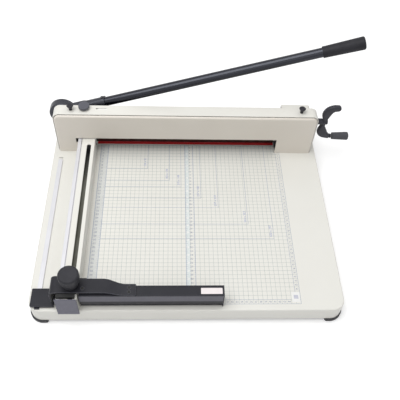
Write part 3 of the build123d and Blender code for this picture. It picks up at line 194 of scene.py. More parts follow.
def surface(name, look, metal=0.0, gloss=0.5, cloud=9.0, grain=900.0, bump=0.05,
            stretch=(1, 1, 1), tint=(1, 1, 1), edge=0.0, edgeWearHighlight=None, spans=(), over=None):
    # one finish: a slow drift of colour, a finer drift of gloss, a fine relief, and edges that are
    # rounded over by the paint and made paler, as wear and a painted highlight; over is a second
    # colour where all the spans meet, which lays painted shade and painted reflections onto faces
    material = bpy.data.materials.new(name)
    material.use_nodes = True
    tree = material.node_tree
    shader = tree.nodes["Principled BSDF"]
    shader.inputs["Metallic"].default_value = metal
    shader.inputs["Specular IOR Level"].default_value = gloss
    shader.inputs["Specular Tint"].default_value = (*tint, 1)
    shadeDrift = noiseOn(tree, cloud, coating["colourDetail"])
    colour = ramp(tree, shadeDrift, look["shade"], look["colour"])
    glossDrift = noiseOn(tree, cloud * coating["glossFiner"], coating["glossDetail"], stretch)
    tree.links.new(spread(tree, glossDrift, *look["rough"]), shader.inputs["Roughness"])
    relief = tree.nodes.new("ShaderNodeBump")
    relief.inputs["Strength"].default_value = bump
    relief.inputs["Distance"].default_value = coating["depth"]
    tree.links.new(noiseOn(tree, grain, coating["grainDetail"], stretch), relief.inputs["Height"])
    if edge:
        rounded = tree.nodes.new("ShaderNodeBevel")
        rounded.samples = coating["edgeSamples"]
        rounded.inputs["Radius"].default_value = edge
        tree.links.new(rounded.outputs["Normal"], relief.inputs["Normal"])
        # edges painted paler: wear, and a painted highlight where the edge would catch the light
        if edgeWearHighlight:
            flat = tree.nodes.new("ShaderNodeNewGeometry")
            turned = tree.nodes.new("ShaderNodeVectorMath")
            turned.operation = "DOT_PRODUCT"
            tree.links.new(rounded.outputs["Normal"], turned.inputs[0])
            tree.links.new(flat.outputs["Normal"], turned.inputs[1])
            rubbedAndLit = spread(tree, turned.outputs["Value"], 1.0, 0.0, *coating["rubbedAndLit"])
            colour = blend(tree, rubbedAndLit, colour, edgeWearHighlight)
    if over:
        share = along(tree, *spans[0])
        for span in spans[1:]:
            share = combine(tree, "MULTIPLY", share, along(tree, *span))
        colour = blend(tree, share, colour, over)
    tree.links.new(colour, shader.inputs["Base Color"])
    tree.links.new(relief.outputs["Normal"], shader.inputs["Normal"])
    material.diffuse_color = (*look["colour"], 1)
    return material


# how the surfaces of one kind of work are alike

enamelled = {"grain": 1400, "bump": 0.22}
powdered = {"cloud": 18, "grain": 1600, "bump": 0.35}
moulded = {"gloss": 0.25, "cloud": 25, "grain": 1500, "bump": 0.35}
machined = {"cloud": 20, "grain": 600, "bump": 0.25}
ground = {"metal": 1.0, "cloud": 12, "grain": 260, "bump": 0.2, "stretch": (1, 1, 14)}

coolSheen = (0.84, 0.88, 1.0)      # black enamel's highlights
paleWornHighlight = (0.11, 0.11, 0.13)      # black paint paler over an edge: wear and a painted highlight
throatEdgeShade = (0.05, 0.048, 0.045)     # painted shade along the front cover's edge at the throat's end
barFrontReflection = (0.120, 0.118, 0.142)   # painted reflection: a lighter band on the gauge bar's front face
bladeFrontShade = (0.11, 0.11, 0.095)   # painted shade: the blade's front face, dark under the housing
slotShadow = (0.006, 0.006, 0.006)

# where painted shade and a painted reflection lie on a face; a span is none at its first place and
# whole at its second

throatEnd = guideX + 447.0 * mm
throatTop = bedZ + 47.0 * mm
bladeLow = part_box("blade")[0]
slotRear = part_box("inner_rail")[1][1]
barLow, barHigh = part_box("gauge_bar")
# a thin strip of painted shade on the front cover at the throat's end
throatShadeSpans = (("X", throatEnd - 0.5 * mm, throatEnd - 0.1 * mm),
               ("X", throatEnd + 0.9 * mm, throatEnd + 0.3 * mm),
               ("Z", throatTop + 0.2 * mm, throatTop - 0.4 * mm))
bladeShadeSpans = (("Y", bladeLow[1] + 0.8 * mm, bladeLow[1] + 0.3 * mm),)
slotSpans = (("Y", slotRear - 100.0 * mm, slotRear),)
barReflectionSpans = (("Y", barLow[1] + 1.2 * mm, barLow[1] + 0.4 * mm),
            ("Z", barHigh[2] - 23.2 * mm, barHigh[2] - 22.4 * mm),
            ("Z", barHigh[2] - 1.0 * mm, barHigh[2] - 2.5 * mm))

creamEnamel = surface("creamEnamel", finish["enamel"], edge=0.0008, **enamelled)
coverEnamel = surface("coverEnamel", finish["cover"], edge=0.0006, **enamelled)
# the front cover's enamel, darker and warmer than the top's: painted shade and painted reflection
frontEnamelShaded = surface("frontEnamelShaded", finish["coverFrontShaded"], edge=0.0006, spans=throatShadeSpans,
                      over=throatEdgeShade, **enamelled)
leverBlack = surface("leverBlack", finish["leverEnamel"], cloud=14, grain=700, tint=coolSheen)
leverCast = surface("leverCast", finish["leverCast"], cloud=18, bump=0.1, tint=coolSheen,
                    edge=0.0012)
satinBlack = surface("satinBlack", finish["satinBlack"], gloss=0.2, edge=0.0011, edgeWearHighlight=paleWornHighlight,
                     **powdered)
# lighter grey for the end plate: a painted reflection
plateReflectionGrey = surface("plateReflectionGrey", finish["reflectionGreyPaint"], gloss=0.35, edge=0.0009, **powdered)
blackPlastic = surface("blackPlastic", finish["plastic"], gloss=0.22, cloud=25, grain=1500,
                       bump=0.35, edge=0.0008, edgeWearHighlight=(0.06, 0.06, 0.068))
gripPlastic = surface("gripPlastic", finish["grip"], gloss=0.25, cloud=25, grain=1100, bump=0.55)
footRubber = surface("footRubber", finish["rubber"], gloss=0.35, cloud=30, bump=0.5)
stickRed = surface("stickRed", finish["stick"], cloud=22, grain=500, bump=0.2)
groundSteel = surface("groundSteel", finish["steel"], **ground)
# the blade's front face darkened with painted shade from the housing above
bladeSteel = surface("bladeSteel", finish["steel"], spans=bladeShadeSpans, over=bladeFrontShade, **ground)
darkSteel = surface("darkSteel", finish["darkSteel"], metal=0.8, **machined)
slotSteel = surface("slotSteel", finish["slotSteel"], gloss=0.3, spans=slotSpans, over=slotShadow,
                    **machined)
# the bar's front face painted lighter than its top: a painted reflection
barPaint = surface("barPaint", finish["satinBlack"], gloss=0.2, edge=0.0011, edgeWearHighlight=paleWornHighlight,
                   spans=barReflectionSpans, over=barFrontReflection, **powdered)
crankBlack = surface("crankBlack", finish["crankPaint"], gloss=0.25, **powdered)
crankGrey = surface("crankGrey", finish["gripGrey"], **moulded)
knobGrey = surface("knobGrey", finish["knobGrey"], **moulded)
# the bracket's edges painted pale lavender: wear and a painted highlight
bracketBlack = surface("bracketBlack", finish["satinBlack"], gloss=0.2, edge=0.0016,
                       edgeWearHighlight=(0.13, 0.13, 0.155), **powdered)
padRubber = surface("padRubber", finish["pad"], gloss=0.2, cloud=30, bump=0.4)
stripMetal = surface("stripMetal", finish["strip"], metal=0.25, cloud=10, grain=300, bump=0.12,
                     stretch=(14, 1, 14), edge=0.0006)
castMetal = surface("castMetal", finish["casting"], gloss=0.3, cloud=20, grain=420, bump=0.5)
bearingBrass = surface("bearingBrass", finish["brass"], metal=1.0, cloud=30, grain=500, bump=0.2)

finishOfSlot = {
    "table_enamel": creamEnamel,
    "cover_enamel": coverEnamel,
    "lever_enamel": leverBlack,
    "black_metal": satinBlack,
    "steel": groundSteel,
    "dark_steel": darkSteel,
    "strip_metal": stripMetal,
    "column_metal": castMetal,
    "black_plastic": blackPlastic,
    "grip_plastic": gripPlastic,
    "red_plastic": stickRed,
    "clamp_rubber": footRubber,
    "foot_rubber": footRubber,
    "bush_brass": bearingBrass,
}
ownFinish = {                      # nodes that look unlike the rest of their slot
    "front_cover": frontEnamelShaded,
    "guide_end_plate": plateReflectionGrey,
    "inner_rail": slotSteel,
    "bed_bar": castMetal,
    "gauge_screws": castMetal,
    "blade": bladeSteel,
    "lever_arm": leverCast,
    "gauge_bar": barPaint,
    "crank_grip": crankGrey,
    "grip_pin": darkSteel,
    "stop_knob": knobGrey,
    "gauge_bracket": bracketBlack,
    "gauge_slider": castMetal,
    "clamp_beam": castMetal,
    "clamp_pad": padRubber,
}
for part in frame["record"]["subparts"]:
    coat = ownFinish.get(part["node"], finishOfSlot[part["material_slot"]])
    for slot in cadNodes[part["node"]].material_slots:
        slot.material = coat
print("finishes:", len(finishOfSlot), "and", len(ownFinish), "of single nodes")


def putMesh(name, points, faces, material, body, smooth=False):
    mesh = bpy.data.meshes.new(name)
    faces = np.asarray(faces, dtype=np.int32)
    corners = faces.shape[1]
    mesh.vertices.add(len(points))
    mesh.vertices.foreach_set("co", np.asarray(points, dtype=np.float32).ravel())
    mesh.loops.add(faces.size)
    mesh.loops.foreach_set("vertex_index", faces.ravel())
    mesh.polygons.add(len(faces))
    mesh.polygons.foreach_set("loop_start", np.arange(0, faces.size, corners, dtype=np.int32))
    mesh.polygons.foreach_set("loop_total", np.full(len(faces), corners, dtype=np.int32))
    mesh.polygons.foreach_set("use_smooth", np.full(len(faces), smooth))
    mesh.update(calc_edges=True)
    mesh.validate()
    mesh.materials.append(material)
    piece = bpy.data.objects.new(name, mesh)
    bpy.context.scene.collection.objects.link(piece)
    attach(piece, body)
    return piece


inkLook = {"rough": 0.45, "mottle": 120, "detail": 3.0, "paler": 0.12}


def ink(name, colour):
    # printing ink: a flat colour broken by a faint mottle, part of the way from it to white
    material = bpy.data.materials.new(name)
    material.use_nodes = True
    tree = material.node_tree
    shader = tree.nodes["Principled BSDF"]
    shader.inputs["Roughness"].default_value = inkLook["rough"]
    paler = tuple(c + (1 - c) * inkLook["paler"] for c in colour)
    mottle = noiseOn(tree, inkLook["mottle"], inkLook["detail"])
    tree.links.new(ramp(tree, mottle, colour, paler), shader.inputs["Base Color"])
    material.diffuse_color = (*colour, 1)
    return material


# the print on the table, in mm from the guide and the cut line

gridPrint = {
    "cell": 10.0,
    "cells": 45,             # where the numbers of the rows and columns stop
    "firstRow": 2,           # in cells from the cut line
    "firstColumn": 4,        # in cells from the guide
    "start": -12.0,          # where the lines start, in front of the cut
    "reach": 460.0,          # the outer border, both ways
    "inner": 450.0,          # the line beside the outer numbers, both ways
    "innerEnds": (432.0, 440.0),
    "left": 6.0,             # where the border starts at the front
    "outside": 455.0,        # the middle of the outer numbers
    "hair": 0.60,            # widths of a cell's line, the border, a band's edge and a sheet's line
    "fine": 0.75,
    "bold": 1.15,
    "sheet": 0.825,
    "lift": 0.05,            # mm above the enamel, and more for each layer of ink
    "layer": 0.02,
    "figure": 4.6,           # heights of a band's numbers, the outer ones and a sheet's size
    "outerFigure": 4.14,
    "caption": 5.58,
    "captionAt": (-6.5, 21.0),    # from the sheet's corner
}
firstBand = {"from": 10.0, "to": 28.5, "middle": 16.5}
secondBand = {"from": 220.0, "to": 240.0, "tint": 229.0, "middle": 231.5,
              "spotAt": 224.5, "spot": 2.6, "spotSides": 14}
bandTick = {"first": 20.0, "step": 5.0, "long": 4.5, "short": 2.5, "width": 0.60}
footTick = {"first": 15.0, "step": 5.0, "from": 1.2, "to": 3.6, "width": 0.60}
sheets = ((128, 91), (182, 128), (210, 148), (257, 182), (297, 210), (364, 257), (420, 297))
badge = {"x": (446.0, 455.4), "y": (-448.2, -439.5),
         "bareX": (441.5, 459.0), "bareY": (-456.0, -432.5)}

gridInk = ink("gridInk", (0.36, 0.40, 0.38))
bandInk = ink("bandInk", (0.30, 0.34, 0.44))
sheetInk = ink("sheetInk", (0.27, 0.31, 0.40))
figureInk = ink("figureInk", (0.17, 0.20, 0.30))
captionInk = ink("captionInk", (0.25, 0.28, 0.50))
paleTint = ink("paleTint", (0.615, 0.625, 0.605))
blueTint = ink("blueTint", (0.66, 0.70, 0.69))
bareTint = ink("bareTint", (0.775, 0.775, 0.755))
badgeTint = ink("badgeTint", (0.47, 0.48, 0.56))
footTickInk = ink("footTickInk", (0.42, 0.36, 0.26))


def strips(lines, width):
    # each row of lines is x0, y0, x1, y1 in mm; every line becomes a flat quad of that width
    lines = np.asarray(lines, dtype=float).reshape(-1, 4)
    start, end = lines[:, :2], lines[:, 2:]
    way = end - start
    way /= np.linalg.norm(way, axis=1)[:, None]
    side = np.stack((-way[:, 1], way[:, 0]), axis=1) * width / 2
    return np.stack((start - side, end - side, end + side, start + side), axis=1)


def rectangle(x, y):
    return [[x[0], y[0]], [x[1], y[0]], [x[1], y[1]], [x[0], y[1]]]


def discs(places, radius, sides):
    # a round spot at each place: its rim is radius from the centre at equal angles
    angle = np.arange(sides) * 2 * math.pi / sides
    rim = np.stack((np.cos(angle), np.sin(angle)), axis=1) * radius
    return (np.asarray(places)[:, None, :] + rim[None]).reshape(-1, 2)


def onTable(flat, layer):
    # flat x, y in mm laid on the enamel; each layer of ink lies a little above the one before
    lift = gridPrint["lift"] + layer * gridPrint["layer"]
    height = np.full(len(flat), bedZ + lift * mm)
    return np.stack((guideX + flat[:, 0] * mm, cutY + flat[:, 1] * mm, height), axis=1)


def putPrint(name, shapes, material, layer=1, corners=4):
    flat = np.asarray(shapes, dtype=float).reshape(-1, 2)
    faces = np.arange(len(flat)).reshape(-1, corners)
    putMesh(name, onTable(flat, layer), faces, material, "base")


def gridLines(p):
    # lines at every cell both ways, from the cut line's side to the outer border
    across = np.arange(p["cell"] * p["firstColumn"], p["reach"], p["cell"])
    down = np.arange(-p["cell"] * p["firstRow"], -p["reach"], -p["cell"])
    first = np.full_like(down, firstBand["to"])
    upright = np.stack((across, np.full_like(across, p["start"]), across,
                        np.full_like(across, -p["reach"])), axis=1)
    level = np.stack((first, down, np.full_like(down, p["reach"]), down), axis=1)
    return np.concatenate((upright, level))


def borderLines(p):
    # the outer border behind, at the right and in front, and the lines beside the outer numbers
    start, reach, inner = p["start"], p["reach"], p["inner"]
    downEnd, acrossEnd = p["innerEnds"]
    return [[firstBand["from"], start, reach, start], [reach, start, reach, -reach],
            [inner, start, inner, -downEnd], [p["left"], -inner, acrossEnd, -inner],
            [p["left"], -reach, reach, -reach]]


def bandTicks(band, tick, reach):
    # ticks inwards from each edge of a band at every step, every other one long
    y = np.arange(-tick["first"], -reach - 1, -tick["step"])
    length = np.where(np.arange(len(y)) % 2 == 0, tick["long"], tick["short"])
    low, high = np.full_like(y, band["from"]), np.full_like(y, band["to"])
    return np.concatenate((np.stack((low, y, low + length, y), axis=1),
                           np.stack((high, y, high - length, y), axis=1)))


def sheetLines(p):
    # each sheet size is an L: down from the cut line to its corner, and in to the first band
    rows = []
    for width, depth in sheets:
        rows.append([width, p["start"], width, -depth])
        rows.append([firstBand["to"], -depth, width, -depth])
    return rows


def figureShape(text):
    # a number's flat triangles, one unit high and centred on its own middle
    curve = bpy.data.curves.new("figure", "FONT")
    curve.body = text
    curve.resolution_u = 2
    holder = bpy.data.objects.new("figure", curve)
    mesh = bpy.data.meshes.new_from_object(holder)
    mesh.calc_loop_triangles()
    points = np.empty(len(mesh.vertices) * 3, dtype=np.float32)
    mesh.vertices.foreach_get("co", points)
    triangles = np.empty(len(mesh.loop_triangles) * 3, dtype=np.int32)
    mesh.loop_triangles.foreach_get("vertices", triangles)
    bpy.data.objects.remove(holder)
    bpy.data.curves.remove(curve)
    bpy.data.meshes.remove(mesh)
    flat = points.reshape(-1, 3)[:, :2]
    low, high = flat.min(axis=0), flat.max(axis=0)
    return (flat - (low + high) / 2) / (high[1] - low[1]), triangles.reshape(-1, 3)


def putFigures(name, rows, height, material, turned=0.0, layer=3):
    # rows of text, x, y: each text is turned about its middle, scaled to its height and laid down
    cosine, sine = math.cos(turned), math.sin(turned)
    turn = np.array(((cosine, sine), (-sine, cosine)))
    points, faces, count = [], [], 0
    for text, x, y in rows:
        flat, triangles = figureShape(text)
        points.append(flat @ turn * height + (x, y))
        faces.append(triangles + count)
        count += len(flat)
    putMesh(name, onTable(np.concatenate(points), layer), np.concatenate(faces), material, "base")


def putGrid(p):
    lineSpan = (-p["reach"], p["start"])
    edges = [[x, p["start"], x, -p["reach"]]
             for band in (firstBand, secondBand) for x in (band["from"], band["to"])]
    ticks = np.concatenate([bandTicks(band, bandTick, p["reach"])
                            for band in (firstBand, secondBand)])
    footTicks = [[footTick["from"], -y, footTick["to"], -y]
                 for y in np.arange(footTick["first"], p["reach"], footTick["step"])]
    putPrint("gridLines", strips(gridLines(p), p["hair"]), gridInk)
    putPrint("gridBorder", strips(borderLines(p), p["fine"]), sheetInk, 2)
    putPrint("firstBandTint", rectangle((firstBand["from"], firstBand["to"]), lineSpan),
             paleTint, 2)
    putPrint("secondBandTint", rectangle((secondBand["from"], secondBand["tint"]), lineSpan),
             blueTint, 2)
    putPrint("bandEdges", strips(edges, p["bold"]), bandInk, 3)
    putPrint("bandTicks", strips(ticks, bandTick["width"]), sheetInk, 3)
    putPrint("sheetCorners", strips(sheetLines(p), p["sheet"]), sheetInk, 3)
    putPrint("guideFootTicks", strips(footTicks, footTick["width"]), footTickInk)


def putNumbers(p):
    # the bands number the lines, with a bare spot beside every other number; the outer numbers
    # stand in the middle of a cell
    cell, rows = p["cell"], range(p["firstRow"], p["cells"])
    spots = discs([(secondBand["spotAt"], -c * cell) for c in rows[::2]], secondBand["spot"],
                  secondBand["spotSides"])
    putPrint("bandSpots", spots, bareTint, 3, secondBand["spotSides"])
    for name, band in (("firstBandFigures", firstBand), ("secondBandFigures", secondBand)):
        putFigures(name, [(str(c), band["middle"], -c * cell) for c in rows], p["figure"],
                   figureInk)
    putFigures("columnFigures", [(str(c), p["outside"], -(c - 0.5) * cell) for c in rows[:-1]],
               p["outerFigure"], figureInk)
    putFigures("rowFigures", [(str(c), (c - 0.5) * cell, -p["outside"])
                              for c in range(p["firstColumn"], p["cells"])],
               p["outerFigure"], figureInk)
    right, up = p["captionAt"]
    putFigures("sheetFigures", [("%d x %d" % (w, d), w + right, -d + up) for w, d in sheets],
               p["caption"], captionInk, math.pi / 2)


putGrid(gridPrint)
putNumbers(gridPrint)
putPrint("badgeGround", rectangle(badge["bareX"], badge["bareY"]), bareTint, 4)
putPrint("badge", rectangle(badge["x"], badge["y"]), badgeTint, 5)
print("table print laid")


# the rear end of the guide's slot is round: a filler in each corner, level with the top sheet

slotEnd = {"left": -18.0, "right": -8.0, "rear": -53.0, "top": 45.0, "deep": 2.4, "steps": 24}


def putSlotEnd(p):
    # at each angle the inner rim is on a half circle and the outer rim on the slot's square end,
    # where the ray at that angle leaves the square
    half = (p["right"] - p["left"]) / 2
    middle = np.array(((p["left"] + p["right"]) / 2, p["rear"] - half))
    angle = np.linspace(0, math.pi, p["steps"] + 1)
    ray = np.stack((np.cos(angle), np.sin(angle)), axis=1)
    inner = middle + ray * half
    outer = middle + ray * half / np.abs(ray).max(axis=1)[:, None]
    under = p["top"] - p["deep"]
    rings = [np.column_stack((rim * mm + (guideX, cutY), np.full(len(rim), bedZ + z * mm)))
             for rim, z in ((outer, p["top"]), (inner, p["top"]), (inner, under), (outer, under))]
    count = p["steps"] + 1
    step = np.arange(p["steps"])
    faces = [np.stack((step + a * count, step + 1 + a * count, step + 1 + b * count,
                       step + b * count), axis=1)
             for a, b in ((0, 1), (1, 2), (2, 3))]
    putMesh("slotEnd", np.concatenate(rings), np.concatenate(faces), creamEnamel, "base")


putSlotEnd(slotEnd)

# dark sheets of painted shade on the table under the slot's rear end, and inside the covers at the
# throat's right end

shadeSheets = {
    "slotShadeSheet": {"x": (-27.0, -3.0), "y": (-85.0, -8.0), "layer": 0},
    "throatShadeSheet": {"x": (449.2, 474.0), "y": (-33.0, 8.0), "layer": 6},
}
for name, p in shadeSheets.items():
    # each sheet is a dark patch of painted shade where the light does not reach
    putPrint(name, rectangle(p["x"], p["y"]), footRubber, p["layer"])
print("slot end and felts")


# the crank's casting: one curled limb from its free tip past the shaft to the grip, with a hub on
# the shaft and a neck at the grip

crankArm = {
    # the limb's middle line and half width, in mm: X, height above the shaft, half width
    "limb": ((581.0, 47.9, 7.8), (572.5, 46.9, 9.0), (564.3, 41.5, 10.6), (559.8, 32.5, 11.0),
             (558.2, 22.5, 9.8), (558.3, 12.0, 6.6), (558.8, 3.0, 5.0), (558.6, -8.0, 4.4),
             (557.8, -17.5, 6.4), (558.4, -27.5, 10.2), (560.6, -37.5, 12.2),
             (566.0, -46.0, 11.2), (572.5, -51.0, 8.8), (577.8, -54.0, 6.0)),
    "thick": 11.0,
    # X and radius
    "hub": ((542.5, 6.6), (543.3, 7.5), (553.0, 7.5), (553.6, 6.9), (554.8, 6.9), (555.4, 7.5),
            (565.2, 7.5), (566.0, 6.7)),
    "neck": ((570.0, 4.6), (583.6, 4.6), (584.2, 5.6), (585.6, 5.6), (586.0, 5.2)),
    "steps": 6,              # along the limb, between two of its points
    "around": 40,
    "endTurn": 0.46,         # how much of a half turn rounds an end, and in how many steps
    "endSteps": 6,
    "crease": 38.0,          # degrees between two faces, above which their edge stays sharp
}


def tube(rings):
    # closed skin over a row of rings: two triangles from each ring's side to the next, and a fan
    # on each end
    count, around = rings.shape[:2]
    start = np.arange(count - 1)[:, None] * around
    here = np.arange(around)[None]
    ahead = (here + 1) % around
    corners = np.stack((start + here, start + ahead, start + ahead + around,
                        start + here + around), axis=-1).reshape(-1, 4)
    fan = np.arange(1, around - 1)
    near = np.stack((np.zeros_like(fan), fan + 1, fan), axis=1)
    far = np.stack((np.zeros_like(fan), fan, fan + 1), axis=1) + (count - 1) * around
    return (rings.reshape(-1, 3),
            np.concatenate((corners[:, :3], corners[:, [0, 2, 3]], near, far)))


def smoothRow(points, steps):
    # a cubic between every two points, which leaves and arrives along the line between their
    # neighbours
    row = np.asarray(points, dtype=float)
    row = np.concatenate((2 * row[:1] - row[1:2], row, 2 * row[-1:] - row[-2:-1]))
    t = (np.arange(steps) / steps)[None, :, None]
    a, b, c, d = (row[i:len(row) - 3 + i, None] for i in range(4))
    curve = b + t / 2 * (c - a + t * (2 * a - 5 * b + 4 * c - d + t * (3 * (b - c) + d - a)))
    return np.concatenate((curve.reshape(-1, row.shape[1]), row[-2:-1]))


def crankFrame():
    # the middles of the shaft and the grip, and the direction from one up through the other,
    # which leans towards the table
    shaftLow, shaftHigh = (np.array(c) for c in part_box("crank_shaft"))
    gripLow, gripHigh = (np.array(c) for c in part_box("crank_grip"))
    shaft, grip = (shaftLow + shaftHigh)[1:] / 2, (gripLow + gripHigh)[1:] / 2
    upward = (shaft - grip) / np.linalg.norm(shaft - grip)
    return shaft, grip, upward


def limbRings(p, shaft, upward):
    # the middle line goes on past both ends while the width falls as a circle does; the section
    # is a superellipse, half width times root cosine across and half thickness times root sine
    # through
    line = smoothRow(p["limb"], p["steps"])
    past = np.sin(np.linspace(0, p["endTurn"] * math.pi, p["endSteps"] + 1))[1:]
    ends = []
    for end, inner in ((line[0], line[1]), (line[-1], line[-2])):
        away = (end - inner)[:2] / np.linalg.norm((end - inner)[:2])
        ends.append(np.column_stack((end[:2] + away * past[:, None] * end[2],
                                     end[2] * np.sqrt(1 - past ** 2))))
    thin = (1 - past ** 4) ** 0.25
    line = np.concatenate((ends[0][::-1], line, ends[1]))
    depth = np.concatenate((thin[::-1], np.ones(len(line) - 2 * len(past)), thin))
    depth *= p["thick"] / 2
    way = np.gradient(line[:, :2], axis=0)
    way /= np.linalg.norm(way, axis=1)[:, None]
    across = np.stack((-way[:, 1], way[:, 0]), axis=1)
    angle = np.arange(p["around"]) * 2 * math.pi / p["around"]
    side, through = (np.sign(f) * np.sqrt(np.abs(f)) for f in (np.cos(angle), np.sin(angle)))
    flat = line[:, None, :2] + across[:, None] * (line[:, 2, None] * side)[..., None]
    back = (depth[:, None] * through) * mm
    height = flat[..., 1] * mm
    return np.stack((guideX + flat[..., 0] * mm,
                     shaft[0] + height * upward[0] + back * upward[1],
                     shaft[1] + height * upward[1] - back * upward[0]), axis=-1)


def turnedRings(profile, middle, around):
    # X and radius at each step, turned about a line along X
    x, radius = np.asarray(profile, dtype=float).T
    angle = np.arange(around) * 2 * math.pi / around
    return np.stack(np.broadcast_arrays(guideX + x[:, None] * mm,
                                        middle[0] + radius[:, None] * np.cos(angle) * mm,
                                        middle[1] + radius[:, None] * np.sin(angle) * mm), axis=-1)


def putCrankArm(p, material):
    shaft, grip, upward = crankFrame()
    skins = [tube(limbRings(p, shaft, upward)), tube(turnedRings(p["hub"], shaft, p["around"])),
             tube(turnedRings(p["neck"], grip, p["around"]))]
    first = np.cumsum([0] + [len(points) for points, faces in skins[:-1]])
    piece = putMesh("crankArm", np.concatenate([points for points, faces in skins]),
                    np.concatenate([faces + start for (points, faces), start in zip(skins, first)]),
                    material, "crank", True)
    piece.data.set_sharp_from_angle(angle=math.radians(p["crease"]))
    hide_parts("crank_arm")


putCrankArm(crankArm, crankBlack)
print("crank arm")

# a bare plate on the gauge bar: a film with rounded corners, a hair proud of the bar

barPlate = {"x": (247.5, 291.0), "y": (-461.6, -448.0), "on": "gauge_bar", "body": "gauge",
            "slot": "black_metal", "thick": 0.25, "sunk": 0.02, "corner": 1.0, "steps": 6}
plateFilm = surface("plateFilm", finish["film"], cloud=40, bump=0.1)


def putPlate(name, p, material):
    # an outline of four quarter circles joined by straight edges, carried up by its thickness
    angle = np.linspace(0, math.pi / 2, p["steps"])
    quarter = np.stack((np.cos(angle), np.sin(angle)), axis=1) * p["corner"]
    turns = [np.array(((math.cos(a), math.sin(a)), (-math.sin(a), math.cos(a))))
             for a in np.arange(4) * math.pi / 2]
    low = np.array((p["x"][0], p["y"][0])) + p["corner"]
    high = np.array((p["x"][1], p["y"][1])) - p["corner"]
    centres = np.array(((high[0], high[1]), (low[0], high[1]), (low[0], low[1]),
                        (high[0], low[1])))
    rim = np.concatenate([quarter @ turn + centre for turn, centre in zip(turns, centres)])
    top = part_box(p["on"])[1][2]
    levels = [np.stack((guideX + rim[:, 0] * mm, cutY + rim[:, 1] * mm,
                        np.full(len(rim), top + h * mm)), axis=1)
              for h in (-p["sunk"], p["thick"])]
    count = len(rim)
    around = np.arange(count)
    sides = np.stack((around, (around + 1) % count, (around + 1) % count + count,
                      around + count), axis=1)
    fan = np.arange(1, count - 1)
    upper = np.stack((np.zeros_like(fan), fan, fan + 1), axis=1) + count
    lower = np.stack((np.zeros_like(fan), fan + 1, fan), axis=1)
    halves = np.concatenate((sides[:, [0, 1, 2]], sides[:, [0, 2, 3]], upper, lower))
    putMesh(name, np.concatenate(levels), halves, material, p["body"])


putPlate("barPlate", barPlate, plateFilm)
print("bar plate")

# floor, light and camera

stage = {
    "corners": [(-6, -6, 0), (6, -6, 0), (6, 8, 0), (-6, 8, 0)],    # the floor's, in m
    "floor": (0.86, 0.86, 0.86),
    "lift": 0.30,            # added where the camera sees the floor near the object
    "farLift": 0.68,         # and far from the lamps
    "near": 1.1,             # m from the middle, where the far lift starts and where it is whole
    "far": 3.2,
    "sky": 0.42,             # how much light the surroundings give, and how bright they look
    "seenSky": 1.0,
    "aim": Vector((0, 0, 0.05)),
}
lamps = {                    # place and size in m, power in W
    "keyLight": {"at": (-0.65, -0.2, 2.2), "size": (1.8, 1.8), "power": 38.5},
    "fillLight": {"at": (1.4, 0.9, 1.9), "size": (1.4, 1.4), "power": 6.0},
    "frontLight": {"at": (0.0, -2.0, 1.5), "size": (1.6, 1.0), "power": 3.5},
}


def paperOf(p):
    # matte paper that also glows, for the seen rays only: the glow goes from lift to farLift as
    # the distance from the middle goes from near to far
    material = bpy.data.materials.new("floorPaper")
    material.use_nodes = True
    tree = material.node_tree
    tree.nodes.remove(tree.nodes["Principled BSDF"])
    matte = tree.nodes.new("ShaderNodeBsdfDiffuse")
    matte.inputs["Color"].default_value = (*p["floor"], 1)
    coord = tree.nodes.new("ShaderNodeTexCoord")
    reach = tree.nodes.new("ShaderNodeVectorMath")
    reach.operation = "LENGTH"
    tree.links.new(coord.outputs["Object"], reach.inputs[0])
    lift = spread(tree, reach.outputs["Value"], p["lift"], p["farLift"], p["near"], p["far"])
    glow = tree.nodes.new("ShaderNodeEmission")
    tree.links.new(combine(tree, "MULTIPLY", seenRay(tree), lift), glow.inputs["Strength"])
    joined = tree.nodes.new("ShaderNodeAddShader")
    tree.links.new(matte.outputs[0], joined.inputs[0])
    tree.links.new(glow.outputs[0], joined.inputs[1])
    tree.links.new(joined.outputs[0], tree.nodes["Material Output"].inputs["Surface"])
    return material


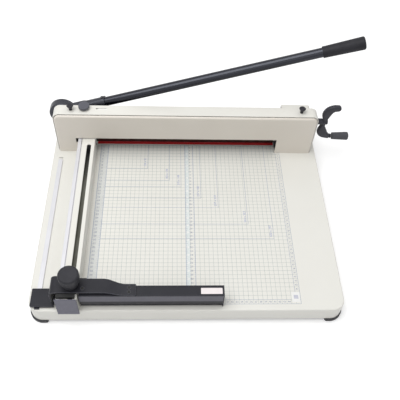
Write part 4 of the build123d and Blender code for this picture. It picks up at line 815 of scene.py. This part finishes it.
def putSky(p):
    world = bpy.data.worlds.new("studio")
    bpy.context.scene.world = world
    world.use_nodes = True
    tree = world.node_tree
    sky = tree.nodes["Background"]
    sky.inputs["Color"].default_value = (1, 1, 1, 1)
    strength = spread(tree, seenRay(tree), p["sky"], p["seenSky"], 0.0, 1.0)
    tree.links.new(strength, sky.inputs["Strength"])


def putLamp(name, p, aim):
    lamp = bpy.data.lights.new(name, "AREA")
    lamp.shape = "RECTANGLE"
    lamp.size, lamp.size_y = p["size"]
    lamp.energy = p["power"]
    box = bpy.data.objects.new(name, lamp)
    box.location = p["at"]
    box.rotation_euler = (aim - Vector(p["at"])).to_track_quat("-Z", "Y").to_euler()
    bpy.context.scene.collection.objects.link(box)


floorMesh = bpy.data.meshes.new("floor")
floorMesh.from_pydata(stage["corners"], [], [(0, 1, 2, 3)])
floorMesh.materials.append(paperOf(stage))
floor = bpy.data.objects.new("floor", floorMesh)
bpy.context.scene.collection.objects.link(floor)
putSky(stage)
for name, p in lamps.items():
    putLamp(name, p, stage["aim"])

view = {
    "at": (186.376, -1001.4, 1061.048),    # mm from the guide, cut line and table top
    "yaw": 4.7916,                         # degrees
    "pitch": 52.4070,
    "roll": 4.0799,
    "focal": 565.096 / 400,                # focal length over the frame's width
    "sensor": 36,                          # mm
    "clip": 30,                            # m
}
yaw, pitch, roll = (math.radians(view[k]) for k in ("yaw", "pitch", "roll"))
forward = Vector((math.sin(yaw) * math.cos(pitch), math.cos(yaw) * math.cos(pitch),
                  -math.sin(pitch)))
level = Vector((math.cos(yaw), -math.sin(yaw), 0))
upward = level.cross(forward)
right = level * math.cos(roll) + upward * math.sin(roll)
top = -level * math.sin(roll) + upward * math.cos(roll)
lens = bpy.data.cameras.new("camera")
lens.sensor_width = view["sensor"]
lens.lens = view["focal"] * view["sensor"]
lens.clip_end = view["clip"]
camera = bpy.data.objects.new("camera", lens)
camera.matrix_world = Matrix((*zip(right, top, -forward, place(*view["at"])), (0, 0, 0, 1)))
bpy.context.scene.collection.objects.link(camera)
bpy.context.scene.camera = camera
bpy.context.scene.view_settings.view_transform = "Standard"
print("stage set")
